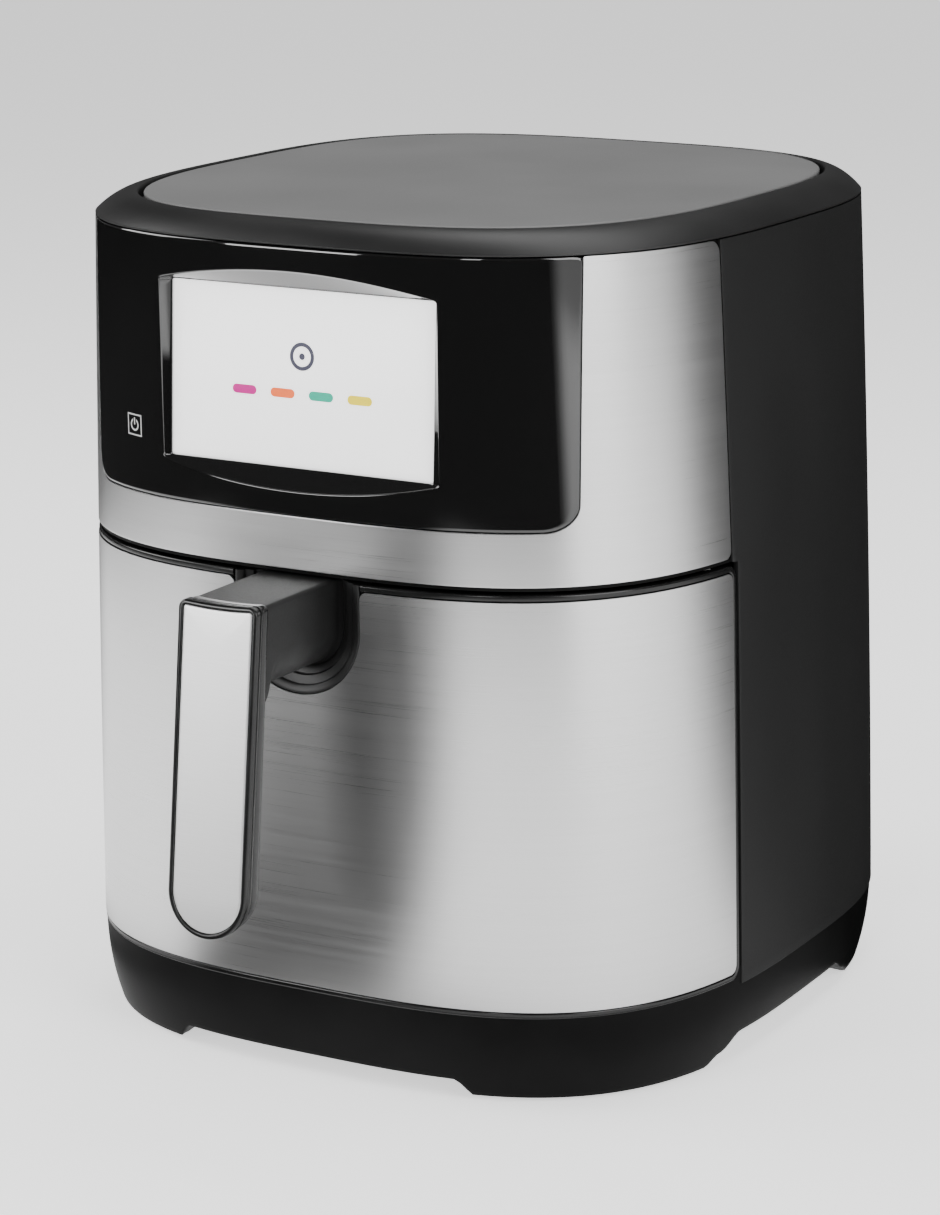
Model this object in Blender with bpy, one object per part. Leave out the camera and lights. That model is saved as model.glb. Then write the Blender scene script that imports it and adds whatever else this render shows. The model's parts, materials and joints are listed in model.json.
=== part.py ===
"""Countertop air fryer with a colour touch screen and a pull-out drawer.

Blender 4.5 script. Metres, +Z up, +X to the right and -Y to the front. The origin is the middle of the
footprint on the worktop. Sizes are written in millimetres and scaled by MM when the meshes are made.
"""

import math

import bmesh
import bpy
from mathutils import Vector

MM = 0.001

# ---- Driving sizes, all in millimetres ---------------------------------------------------------------

# The body's plan is a superellipse whose reach to the side, front and back changes a little with height.
PLAN_EXPONENT = 3.07
HALF_WIDTH = 141.5
FRONT_REACH = 161.7
BACK_REACH = 140.0
SIDE_LEAN = (-4.86, -0.78)
FRONT_LEAN = (3.14, -0.26)
BACK_LEAN = (-6.82, -1.36)
LEAN_HEIGHT = 200.0
LEAN_SPAN = 150.0

# Heights of the three storeys: the foot tray, the drawer and the control head.
BASE_HEIGHT = 33.6
DRAWER_HEIGHT = 168.2
HEAD_HEIGHT = 123.6
TOP_RING_HEIGHT = 8.4
GAP = 0.3
DRAWER_GAP = 3.0
SILL_GAP = 1.5
RING_GAP = 0.6

# Walls.
WALL = 2.5
STEEL = 0.8
DRAWER_WALL = 2.6
SILL_THICKNESS = 1.5
SHEET = 0.9

# Top ring and lid panel.
RING_INSET_SIDE = 16.3
RING_INSET_FRONT = 13.5
RING_INSET_BACK = 6.0
LID_GROOVE = 2.0
LID_THICKNESS = 4.5
RING_LEDGE = 6.0

# Seams between the front pieces and the rear housing, as y on the side of the body.
DRAWER_SEAM = -61.5
HEAD_SEAM = -66.5
HEAD_SEAM_LEAN = -4.5
SEAM_GAP = 1.0
SIDE_RIM = 2.6

# Control panel and screen.
PANEL_HALF_WIDTH = 107.4
PANEL_BAND = 21.0
PANEL_CORNER = 10.0
PANEL_GAP = 0.4
SCREEN_WIDTH = 116.0
SCREEN_HEIGHT = 68.0
SCREEN_TILT = 2.5
SCREEN_DEPTH = 8.3
RECESS_FLARE = 3.5
RECESS_BOW = 7.0
RECESS_RISE = 1.4
RECESS_WALL = 3.2
FRAME_EDGE = 3.3
PANEL_PROUD = 1.6
GLASS_THICKNESS = 1.1
GLASS_MARGIN = 2.4
FRAME_MARGIN = 7.0

# Drawer front, its rim and the opening for the handle.
RIM = 2.6
ROOT_HALF_WIDTH = 28.0
ROOT_CENTRE_DROP = 18.6
ROOT_DEPTH = 6.7

# Handle.
GRIP_HALF_WIDTH = 17.2
GRIP_TOP_RISE = 1.8
GRIP_LENGTH = 126.5
GRIP_LEAN = 0.107
GRIP_REACH = 54.0
BEZEL_DEPTH = 4.6
GRIP_BACK_DEPTH = 7.6
INLAY_MARGIN = 2.1
INLAY_THICKNESS = 0.8
ARM_HALF_WIDTH = 17.0

# Pan, plate and the bay that they slide in.
PAN_HALF = 112.0
PAN_CENTRE_Y = -6.0
PAN_CORNER = 38.0
PAN_DRAFT = 8.0
PAN_WALL = 0.9
PAN_FLOOR = 50.0
PAN_RIM = 3.0
PAN_RIM_THICKNESS = 1.6
PAN_TOP_DROP = 5.0
BAY_CLEARANCE = 2.5
BAY_FLOOR = 44.0
PLATE_LIFT = 12.5
PLATE_THICKNESS = 1.6
PLATE_GAP = 2.0
PLATE_HOLE = 7.0
PLATE_HOLES_ACROSS = 5
PLATE_HOLE_EDGE = 33.5
DECK_THICKNESS = 2.4

# Hot chamber, heater, fans and motor, all on one upright axis.
CHAMBER_RADIUS = 90.0
CHAMBER_HEIGHT = 46.0
CHAMBER_SHEET = 0.9
COIL_TUBE = 3.2
COIL_PITCH = 11.0
COIL_TO_WALL = 12.0
COIL_LIFT = 13.0
CLIP_HALF_WIDTH = 4.0
CLIP_HALF_HEIGHT = 5.0
CUTOUT_RADIUS = 7.0
CUTOUT_INSET = 20.0
FAN_TO_COIL = 5.8
FAN_HEIGHT = 11.0
FAN_LIFT = 24.0
FAN_BLADES = 8
SHAFT_RADIUS = 3.0
SHAFT_CLEARANCE = 0.3
COOLING_FAN_TO_COIL = 9.8
COOLING_FAN_HEIGHT = 10.0
COOLING_FAN_LIFT = 4.5
MOTOR_RADIUS = 33.0
MOTOR_HEIGHT = 34.0

# Back: exhaust grille, duct and the bush where a mains lead would leave.
GRILLE_HALF_WIDTH = 40.0
GRILLE_HEIGHT = 50.0
GRILLE_SLOTS = 7
GLAND_HEIGHT = 62.0
GLAND_RADIUS = 7.0
GLAND_BORE = 3.7
GLAND_REACH = 6.0

# Foot tray.
SKIRT_RISE = 8.3
SKIRT_RISE_SIDE = 12.0
FRONT_ARCH = 60.0
SIDE_ARCH = (-56.0, 32.0)
ARCH_SLOPE = 11.0
SIDE_ARCH_SLOPE = 25.0
PAD_RADIUS = 9.0
PAD_THICKNESS = 1.5
PAD_INSET_SIDE = 43.5
PAD_INSET_FRONT = 49.7
PAD_INSET_BACK = 48.0
TRAY_FLOOR = 16.0
TRAY_WALL = 3.0
SKIRT = ((5.7, PAD_THICKNESS + GAP), (3.2, 9.0), (1.6, 16.0), (0.5, 24.0), (0.3, BASE_HEIGHT))
POST_RADIUS = 6.0
POSTS = [(x, y) for y in (-72.0, 62.0) for x in (-50.0, 50.0)]

# Small fittings.
SCREW_RADIUS = 2.0
SCREW_HEAD_RADIUS = 3.8
SCREW_HEAD_DEPTH = 2.4
SCREW_LENGTH = 22.0
SCREW_GRIP = 11.0
SOCKET_WALL = 3.0
SOCKET_THICKNESS = 4.5
CARRIER_WALL = 1.6
SILL_INSET = 0.5
LCD_THICKNESS = 4.0
BOARD_THICKNESS = 1.6
GRILLE_LIFT = 10.0
GRILLE_SLOT = 3.6
GRILLE_FLANGE = 5.0
TERMINAL_PLACE = (30.0, 96.0)
TERMINAL_SIZE = (24.0, 14.0, 14.0)
RAIL_HEIGHT = 6.0
RAIL_CLEARANCE = 1.2
SWITCH_WIDTH = 11.0
SWITCH_LENGTH = 17.0
PLUNGER_RADIUS = 2.0
PLUNGER_TRAVEL = 2.0
PROBE_RADIUS = 1.8
PROBE_LIFT = 5.0
GUARD_THICKNESS = 1.2
BRACKET_SHEET = 1.6
BRACKET_HALF_WIDTH = 24.0
BRACKET_HEIGHT = 32.0
BUMPER_RADIUS = 5.0
BUMPER_INSET = 18.0
MOTOR_GAP = 3.0
POWER_BOARD = (36.0, 42.0)

# Smoothness.
PLAN_STEPS = 34
ROUND_STEPS = 52

# ---- Heights that follow from the sizes above --------------------------------------------------------

DRAWER_BOTTOM = BASE_HEIGHT + DRAWER_GAP
DRAWER_TOP = DRAWER_BOTTOM + DRAWER_HEIGHT
SILL_BOTTOM = DRAWER_TOP + SILL_GAP
SILL_TOP = SILL_BOTTOM + SILL_THICKNESS
HEAD_TOP = SILL_TOP + HEAD_HEIGHT
RING_BOTTOM = HEAD_TOP + RING_GAP
TOP = RING_BOTTOM + TOP_RING_HEIGHT
LID_BOTTOM = TOP - LID_THICKNESS
PANEL_BOTTOM = SILL_TOP + PANEL_BAND
SCREEN_CENTRE_Z = 0.5 * (PANEL_BOTTOM + HEAD_TOP)
PAN_TOP = DRAWER_TOP - PAN_TOP_DROP
DECK_BOTTOM = PAN_TOP - PAN_RIM_THICKNESS
BAY_HALF = PAN_HALF + PAN_RIM + BAY_CLEARANCE
BAY_FRONT = DRAWER_SEAM + 4.6
SURROUND_FRONT = DRAWER_SEAM + 1.3
SURROUND_BACK = BAY_FRONT - GAP
CEILING_TOP = SILL_TOP - GAP
CHAMBER_TOP = SILL_TOP + CHAMBER_HEIGHT
COIL_OUTER = CHAMBER_RADIUS - COIL_TO_WALL
COIL_INNER = COIL_OUTER - COIL_PITCH
FAN_RADIUS = COIL_INNER - COIL_TUBE - FAN_TO_COIL
COOLING_FAN_RADIUS = COIL_INNER - COIL_TUBE - COOLING_FAN_TO_COIL
OPENING_RADIUS = CHAMBER_RADIUS - 2.0
MOTOR_BOTTOM = CHAMBER_TOP + COOLING_FAN_LIFT + COOLING_FAN_HEIGHT + MOTOR_GAP + BRACKET_SHEET + GAP
GRILLE_BOTTOM = SILL_TOP + GRILLE_LIFT
ROOT_CENTRE_Z = DRAWER_TOP - ROOT_CENTRE_DROP
BRACKET_Z = (DECK_BOTTOM - 3.0 - BRACKET_HEIGHT, DECK_BOTTOM - 3.0)
HANDLE_SCREW_Z = (ROOT_CENTRE_Z - 9.0, ROOT_CENTRE_Z + 2.0)
GRIP_TOP = DRAWER_TOP + GRIP_TOP_RISE
GRIP_BOTTOM = GRIP_TOP - GRIP_LENGTH
SWITCH_X = BAY_HALF + SHEET + GAP + SWITCH_WIDTH / 2.0 + 0.5
SWITCH_Z = DECK_BOTTOM + DECK_THICKNESS / 2.0
AXIS = (0.0, PAN_CENTRE_Y)


# ---- The body's shape --------------------------------------------------------------------------------


def reach(z, inset=0.0):
    """Half width, front reach and back reach of the body at height z, drawn in by inset."""
    t = (z - LEAN_HEIGHT) / LEAN_SPAN
    sizes = (HALF_WIDTH, FRONT_REACH, BACK_REACH)
    leans = (SIDE_LEAN, FRONT_LEAN, BACK_LEAN)
    return [size + lean[0] * t + lean[1] * t * t - inset for size, lean in zip(sizes, leans)]


def plan_point(angle, side, front, back):
    """A point of the superellipse plan. Angle 0 is +X and a quarter turn is the back."""
    power = 2.0 / PLAN_EXPONENT
    c, s = math.cos(angle), math.sin(angle)
    x = side * math.copysign(abs(c) ** power, c)
    y = (front if s < 0 else back) * math.copysign(abs(s) ** power, s)
    return x, y


def body_point(angle, z, inset=0.0):
    x, y = plan_point(angle, *reach(z, inset))
    return (x, y, z)


def front_y(x, z, inset=0.0):
    """The body's front surface at x and z."""
    side, front, _ = reach(z, inset)
    return -front * (1.0 - abs(x / side) ** PLAN_EXPONENT) ** (1.0 / PLAN_EXPONENT)


def side_x(y, z, inset=0.0):
    """The body's right-hand surface at y and z."""
    side, front, back = reach(z, inset)
    deep = front if y < 0 else back
    return side * (1.0 - abs(y / deep) ** PLAN_EXPONENT) ** (1.0 / PLAN_EXPONENT)


def angle_at(y, z, inset=0.0):
    """The plan angle, below the +X axis, where the front half of the plan reaches y."""
    front = reach(z, inset)[1]
    return -math.asin(min(1.0, abs(y) / front) ** (PLAN_EXPONENT / 2.0))


def head_seam(z):
    """Where the steel of the control head ends, as y. The seam leans as the head does."""
    return HEAD_SEAM + HEAD_SEAM_LEAN * (z - SILL_TOP) / HEAD_HEIGHT


def front_angles(z, inset, seam, steps=PLAN_STEPS):
    """Plan angles from the left seam round the front to the right seam."""
    end = angle_at(seam, z, inset)
    return [(-math.pi - end) + (math.pi + 2.0 * end) * i / steps for i in range(steps + 1)]


def back_angles(z, inset, seam, steps=PLAN_STEPS):
    """Plan angles from the right seam round the back to the left seam."""
    start = angle_at(seam, z, inset)
    return [start + (math.pi - 2.0 * start) * i / steps for i in range(steps + 1)]


def levels(low, high, count):
    return [low + (high - low) * i / (count - 1) for i in range(count)]


# Where the handle's root sits in the drawer front, which follows the body's face at that height.
ROOT_FACE = front_y(0.0, ROOT_CENTRE_Z)
ROOT_SEAT = ROOT_FACE + ROOT_DEPTH
SOCKET_BACK = ROOT_SEAT + SOCKET_THICKNESS
BRACKET_FRONT = SOCKET_BACK + GAP


# ---- Makers ------------------------------------------------------------------------------------------


def clear_scene():
    for obj in list(bpy.data.objects):
        bpy.data.objects.remove(obj, do_unlink=True)


def finish(name, colour, metallic=0.0, roughness=0.5):
    """One Principled material for each sub-part."""
    made = bpy.data.materials.new(name)
    made.use_nodes = True
    shader = made.node_tree.nodes["Principled BSDF"]
    shader.inputs["Base Color"].default_value = (*colour, 1.0)
    shader.inputs["Metallic"].default_value = metallic
    shader.inputs["Roughness"].default_value = roughness
    return made


BLACK = ((0.012, 0.012, 0.013), 0.0, 0.38)
CHARCOAL = ((0.022, 0.022, 0.023), 0.0, 0.5)
GLOSS = ((0.005, 0.005, 0.006), 0.0, 0.06)
GREY = ((0.13, 0.13, 0.13), 0.0, 0.6)
BRUSHED = ((0.62, 0.62, 0.61), 1.0, 0.3)
ZINC = ((0.5, 0.5, 0.5), 1.0, 0.4)
COATING = ((0.03, 0.03, 0.03), 0.0, 0.42)
SILICONE = ((0.02, 0.02, 0.02), 0.0, 0.8)
BOARD = ((0.02, 0.12, 0.06), 0.0, 0.5)
LIT = ((0.85, 0.85, 0.85), 0.0, 0.2)
HEATER = ((0.22, 0.2, 0.18), 1.0, 0.5)


def offset_of(parent):
    """Where a parent empty stands in the model's own frame, in metres."""
    place = Vector((0.0, 0.0, 0.0))
    while parent is not None and parent.parent is not None:
        place += parent.location
        parent = parent.parent
    return place


def solid(name, data, look, parent, smooth=35.0):
    """A named sub-part from points in millimetres and faces, with its origin at its parent's."""
    points, faces = data
    here = offset_of(parent)
    mesh = bpy.data.meshes.new(name)
    mesh.from_pydata([Vector(p) * MM - here for p in points], [], faces)
    work = bmesh.new()
    work.from_mesh(mesh)
    bmesh.ops.remove_doubles(work, verts=work.verts, dist=1e-7)
    bmesh.ops.recalc_face_normals(work, faces=work.faces)
    work.to_mesh(mesh)
    work.free()
    mesh.shade_smooth()
    mesh.set_sharp_from_angle(angle=math.radians(smooth))
    obj = bpy.data.objects.new(name, mesh)
    bpy.context.scene.collection.objects.link(obj)
    obj.parent = parent
    mesh.materials.append(finish(name, *look))
    return obj


def helper(name, shapes, parent):
    """A cutter or a filler made of one or more closed shapes. It isn't a sub-part."""
    points, faces = [], []
    for more_points, more_faces in shapes:
        start = len(points)
        points += more_points
        faces += [tuple(start + i for i in face) for face in more_faces]
    obj = solid(name, (points, faces), BLACK, parent)
    obj.hide_render = True
    obj.display_type = "WIRE"
    return obj


def shape(obj, operation, name, shapes):
    """Cut, join or limit a sub-part by closed shapes."""
    other = helper(name, shapes, obj.parent)
    step = obj.modifiers.new(name, "BOOLEAN")
    step.operation = operation
    step.solver = "EXACT"
    step.object = other
    return obj


def cut(obj, name, *shapes):
    return shape(obj, "DIFFERENCE", name, shapes)


def join(obj, name, *shapes):
    return shape(obj, "UNION", name, shapes)


def keep(obj, name, *shapes):
    return shape(obj, "INTERSECT", name, shapes)


def loft(rings, closed=False, sheet=False):
    """Skin rings of equal length. The two end rings are capped, or joined to each other if closed.

    On a sheet, whose rings run up one side and down the other, a cap is a strip between the two sides.
    """
    count = len(rings[0])
    points = [p for ring in rings for p in ring]
    faces = []
    spans = len(rings) if closed else len(rings) - 1
    for k in range(spans):
        low = k * count
        high = ((k + 1) % len(rings)) * count
        for i in range(count):
            j = (i + 1) % count
            faces.append((low + i, low + j, high + j, high + i))
    last = (len(rings) - 1) * count
    if sheet:
        for i in range(count // 2 - 1):
            strip = (i, i + 1, count - 2 - i, count - 1 - i)
            faces.append(strip[::-1])
            faces.append(tuple(last + k for k in strip))
    elif not closed:
        faces.append(tuple(reversed(range(count))))
        faces.append(tuple(last + i for i in range(count)))
    return points, faces


def prism(outline, low, high, axis):
    """Extrude an outline along an axis. The outline holds the other two coordinates in order."""

    def lift(p, at):
        point = list(p)
        point.insert(axis, at)
        return tuple(point)

    return loft([[lift(p, at) for p in outline] for at in (low, high)])


def block(low, high):
    (x0, y0, z0), (x1, y1, z1) = low, high
    return prism([(x0, y0), (x1, y0), (x1, y1), (x0, y1)], z0, z1, 2)


def turned(profile, centre=AXIS, steps=32, axis=2):
    """Turn an outline of (radius, height) points about an upright axis, or about Y for axis 1.

    An outline that starts and ends on the axis makes a plug, any other outline makes a ring.
    """
    plug = profile[0][0] == 0.0 and profile[-1][0] == 0.0
    rows = profile[1:-1] if plug else profile
    turns = [2.0 * math.pi * i / steps for i in range(steps)]
    rings = []
    for radius, height in rows:
        ring = []
        for a in turns:
            point = [centre[0] + radius * math.cos(a), centre[1] + radius * math.sin(a)]
            point.insert(axis, height)
            ring.append(tuple(point))
        rings.append(ring)
    return loft(rings, closed=not plug)


def rod(centre, radius, low, high, steps=12, axis=2):
    return turned([(0.0, low), (radius, low), (radius, high), (0.0, high)], centre, steps, axis)


def tube(path, radius, sides=8):
    """A round bar along a path, with flat ends. Each section stays square to the path."""
    route = [Vector(p) for p in path]
    turns = [2.0 * math.pi * k / sides for k in range(sides)]
    rings = []
    previous = Vector((0.0, 0.0, 1.0))
    for i, point in enumerate(route):
        ahead = route[min(i + 1, len(route) - 1)] - route[max(i - 1, 0)]
        ahead.normalize()
        across = previous - ahead * previous.dot(ahead)
        if across.length < 0.1:
            across = Vector((1.0, 0.0, 0.0)) - ahead * ahead.x
        across.normalize()
        previous = across
        up = ahead.cross(across)
        rings.append([point + (across * math.cos(a) + up * math.sin(a)) * radius for a in turns])
    return loft(rings)


def rounded_box(half_x, half_y, radius, centre=(0.0, 0.0), steps=6):
    """Outline of a rectangle with round corners, anticlockwise from the right-hand side."""
    outline = []
    for quarter in range(4):
        middle = math.pi / 4.0 + quarter * math.pi / 2.0
        cx = math.copysign(half_x - radius, math.cos(middle)) + centre[0]
        cy = math.copysign(half_y - radius, math.sin(middle)) + centre[1]
        for k in range(steps + 1):
            angle = quarter * math.pi / 2.0 + k * math.pi / 2.0 / steps
            outline.append((cx + radius * math.cos(angle), cy + radius * math.sin(angle)))
    return outline


def tongue(half_width, top, centre_z, steps=12):
    """Outline, as x and z, with a flat top and a half-round bottom."""
    outline = [(half_width, top), (-half_width, top)]
    for k in range(steps + 1):
        angle = math.pi + math.pi * k / steps
        outline.append((half_width * math.cos(angle), centre_z + half_width * math.sin(angle)))
    return outline


def pivot(name, point, parent):
    """An empty on a joint's axis that carries a moving body."""
    empty = bpy.data.objects.new(name, None)
    bpy.context.scene.collection.objects.link(empty)
    empty.empty_display_size = 0.03
    empty.parent = parent
    empty.location = Vector(point) * MM - offset_of(parent)
    return empty


def band(profile, seam, angles):
    """A wall that follows the body's plan between its seams. The profile holds (inset, height) points."""
    columns = [[body_point(a, z, inset) for a in angles(z, inset, seam(z))] for inset, z in profile]
    return loft([list(section) for section in zip(*columns)], sheet=True)


def full_plan(z, inset=0.0, steps=ROUND_STEPS):
    return [body_point(2.0 * math.pi * i / steps, z, inset) for i in range(steps)]


def back_y(x, z, inset=0.0):
    """The body's back surface at x and z."""
    side, _, back = reach(z, inset)
    return back * (1.0 - abs(x / side) ** PLAN_EXPONENT) ** (1.0 / PLAN_EXPONENT)


def around(radius, angle):
    """A point at a radius and an angle from the fan's axis."""
    return AXIS[0] + radius * math.cos(angle), AXIS[1] + radius * math.sin(angle)


# ---- Outside of the body -----------------------------------------------------------------------------


def make_base(parent):
    """The foot tray: four corner feet with arches between them, open above, with posts for the bay."""
    tray = solid("base_tray", loft([full_plan(z, inset) for inset, z in SKIRT]), BLACK, parent)
    hollow = [full_plan(z, TRAY_WALL) for z in (TRAY_FLOOR, BASE_HEIGHT + 5.0)]
    cut(tray, "tray_hollow", loft(hollow))
    far = HALF_WIDTH + FRONT_REACH
    front_arch = [
        (-FRONT_ARCH - ARCH_SLOPE, 0.0),
        (FRONT_ARCH + ARCH_SLOPE, 0.0),
        (FRONT_ARCH, SKIRT_RISE),
        (-FRONT_ARCH, SKIRT_RISE),
    ]
    y0, y1 = SIDE_ARCH
    side_arch = [
        (y0 - SIDE_ARCH_SLOPE, 0.0),
        (y1 + SIDE_ARCH_SLOPE, 0.0),
        (y1, SKIRT_RISE_SIDE),
        (y0, SKIRT_RISE_SIDE),
    ]
    cut(tray, "front_arch", prism(front_arch, -far, far, 1))
    cut(tray, "side_arch", prism(side_arch, -far, far, 0))
    posts = [rod(spot, POST_RADIUS, TRAY_FLOOR - 2.0, BAY_FLOOR - GAP) for spot in POSTS]
    join(tray, "tray_posts", *posts)
    bores = []
    for spot in POSTS:
        sink = SKIRT_RISE + SCREW_HEAD_DEPTH + 2.0 * GAP
        profile = [
            (0.0, 0.0),
            (SCREW_HEAD_RADIUS + GAP, 0.0),
            (SCREW_HEAD_RADIUS + GAP, sink),
            (SCREW_RADIUS + GAP, sink),
            (SCREW_RADIUS + GAP, SKIRT_RISE + SCREW_LENGTH + 1.0),
            (0.0, SKIRT_RISE + SCREW_LENGTH + 1.0),
        ]
        bores.append(turned(profile, spot, 12))
    cut(tray, "tray_bores", *bores)


def make_feet(parent):
    """Rubber pads under the corner feet and the screws that hold the tray."""
    pad_x = HALF_WIDTH - PAD_INSET_SIDE
    for end, y in (("front", PAD_INSET_FRONT - FRONT_REACH), ("rear", BACK_REACH - PAD_INSET_BACK)):
        for side, x in (("left", -pad_x), ("right", pad_x)):
            pad = rod((x, y), PAD_RADIUS, 0.0, PAD_THICKNESS, 20)
            solid(f"foot_pad_{end}_{side}", pad, SILICONE, parent)
    for spot in POSTS:
        end = "front" if spot[1] < 0 else "rear"
        side = "left" if spot[0] < 0 else "right"
        low = SKIRT_RISE + GAP
        profile = [
            (0.0, low),
            (SCREW_HEAD_RADIUS, low),
            (SCREW_HEAD_RADIUS, low + SCREW_HEAD_DEPTH),
            (SCREW_RADIUS, low + SCREW_HEAD_DEPTH),
            (SCREW_RADIUS, SKIRT_RISE + SCREW_LENGTH),
            (0.0, SKIRT_RISE + SCREW_LENGTH),
        ]
        solid(f"base_screw_{end}_{side}", turned(profile, spot, 12), ZINC, parent)


def make_housing(parent):
    """The casing round the sides and the back, with the exhaust opening and the lead's hole."""
    heights = levels(BASE_HEIGHT + GAP, SILL_BOTTOM - 2.0 * GAP, 3) + levels(SILL_BOTTOM, HEAD_TOP, 3)
    outer = [(0.0, z) for z in heights]
    inner = [(WALL, z) for z in reversed(heights)]

    def edge(z):
        return DRAWER_SEAM if z < SILL_BOTTOM else head_seam(z) + SEAM_GAP

    housing = solid("rear_housing", band(outer + inner, edge, back_angles), CHARCOAL, parent)
    low, high = GRILLE_BOTTOM - GAP, GRILLE_BOTTOM + GRILLE_HEIGHT + GAP
    side = GRILLE_HALF_WIDTH + GAP
    window = block((-side, 0.7 * BACK_REACH, low), (side, 1.3 * BACK_REACH, high))
    lead = rod((0.0, GLAND_HEIGHT), GLAND_RADIUS + GAP, 0.9 * BACK_REACH, 1.2 * BACK_REACH, 20, 1)
    cut(housing, "housing_openings", window, lead)


def panel_outline(spare):
    """Outline, as x and z, of the control panel's place in the fascia. It runs out past the top."""
    side = PANEL_HALF_WIDTH + spare
    low = PANEL_BOTTOM - spare
    outline = [(side, HEAD_TOP + 20.0), (-side, HEAD_TOP + 20.0)]
    for centre, start in ((-side + PANEL_CORNER, math.pi), (side - PANEL_CORNER, 1.5 * math.pi)):
        for k in range(7):
            a = start + k * math.pi / 12.0
            z = low + PANEL_CORNER + PANEL_CORNER * math.sin(a)
            outline.append((centre + PANEL_CORNER * math.cos(a), z))
    return outline


def make_fascia(parent):
    """The steel face of the control head, the moulding that backs it, and the floor of the head."""
    opening = prism(panel_outline(PANEL_GAP), -1.2 * FRONT_REACH, -0.5 * FRONT_REACH, 1)
    heights = levels(SILL_TOP, HEAD_TOP, 4)
    skin = [(0.0, z) for z in heights] + [(STEEL, z) for z in reversed(heights)]
    steel = solid("front_fascia", band(skin, head_seam, front_angles), BRUSHED, parent)
    cut(steel, "fascia_opening", opening)
    back = [(STEEL + GAP, z) for z in heights]
    back += [(STEEL + GAP + CARRIER_WALL, z) for z in reversed(heights)]
    carrier = solid("fascia_carrier", band(back, head_seam, front_angles), BLACK, parent)
    cut(carrier, "carrier_opening", opening)

    rings = []
    for z in (SILL_BOTTOM, CEILING_TOP):
        angles = front_angles(z, SILL_INSET, head_seam(z))
        ring = [body_point(a, z, SILL_INSET) for a in angles]
        for y in (HEAD_SEAM + SEAM_GAP, SURROUND_BACK):
            ring.append((side_x(y, z, WALL + GAP), y, z))
        for y in (SURROUND_BACK, HEAD_SEAM + SEAM_GAP):
            ring.append((-side_x(y, z, WALL + GAP), y, z))
        rings.append(ring)
    floor = solid("head_floor", loft(rings), BLACK, parent)
    cut(floor, "floor_opening", rod(AXIS, OPENING_RADIUS, SILL_BOTTOM - 5.0, SILL_TOP + 5.0, 32))


def screen_y(z):
    """The plane of the screen glass, which leans back towards the top."""
    tilt = math.tan(math.radians(SCREEN_TILT))
    return -FRONT_REACH - PANEL_PROUD + SCREEN_DEPTH + tilt * (z - SCREEN_CENTRE_Z)


def slab_grid(half_width, low, high, near, far, across, tall):
    """A slab whose near and far faces are given as y at x and z."""
    rows = levels(low, high, tall)
    columns = levels(-half_width, half_width, across)
    sections = []
    for x in columns:
        front = [(x, near(x, z), z) for z in rows]
        back = [(x, far(x, z), z) for z in reversed(rows)]
        sections.append(front + back)
    return loft(sections, sheet=True)


def recess_rings():
    """The screen recess, from bowed edges in front of the panel to the straight window at the glass."""
    half, tall = SCREEN_WIDTH / 2.0, SCREEN_HEIGHT / 2.0
    window, mouth = [], []
    count = 10
    for side in (-1.0, 1.0):
        for i in range(count + 1):
            u = side * (-1.0 + 2.0 * i / count)
            z = SCREEN_CENTRE_Z + side * tall
            window.append((half * u, screen_y(z), z))
            bow = RECESS_RISE + RECESS_BOW * (1.0 - u * u)
            x = (half + RECESS_FLARE) * u
            edge_z = z + side * bow
            mouth.append((x, front_y(x, edge_z), edge_z))
    beyond = 2.2
    ahead = [tuple(w + (m - w) * beyond for w, m in zip(a, b)) for a, b in zip(window, mouth)]
    behind = [(x, y + 12.0, z) for x, y, z in window]
    return [ahead, window, behind]


def make_panel(parent):
    """The glossy control panel with the sunk screen window."""

    def shell(inset):
        return lambda x, z: front_y(x, z, inset)

    side = PANEL_HALF_WIDTH + 3.0
    top = HEAD_TOP
    sheet = slab_grid(side, PANEL_BOTTOM - 3.0, top, shell(0.0), shell(WALL), 25, 6)
    panel = solid("control_panel", sheet, GLOSS, parent)
    keep(panel, "panel_outline", prism(panel_outline(0.0), -1.2 * FRONT_REACH, -0.5 * FRONT_REACH, 1))
    half = SCREEN_WIDTH / 2.0 + FRAME_MARGIN
    low, high = PANEL_BOTTOM + FRAME_EDGE, HEAD_TOP - FRAME_EDGE
    frame = slab_grid(half, low, high, shell(1.0), lambda x, z: screen_y(z) + RECESS_WALL, 9, 3)
    join(panel, "screen_frame", frame)
    pocket_half = SCREEN_WIDTH / 2.0 + GLASS_MARGIN + GAP
    pocket_tall = SCREEN_HEIGHT / 2.0 + GLASS_MARGIN + GAP
    low, high = SCREEN_CENTRE_Z - pocket_tall, SCREEN_CENTRE_Z + pocket_tall
    pocket = slab_grid(
        pocket_half, low, high, lambda x, z: screen_y(z) - GAP, lambda x, z: screen_y(z) + 12.0, 2, 2
    )
    cut(panel, "screen_recess", loft(recess_rings()))
    cut(panel, "glass_pocket", pocket)


def tilted_plate(half_width, half_height, front, back):
    """A flat plate parallel to the screen. Front and back are depths behind the glass's face."""
    low, high = SCREEN_CENTRE_Z - half_height, SCREEN_CENTRE_Z + half_height
    outline = [
        (screen_y(low) + front, low),
        (screen_y(low) + back, low),
        (screen_y(high) + back, high),
        (screen_y(high) + front, high),
    ]
    return prism(outline, -half_width, half_width, 0)


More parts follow.
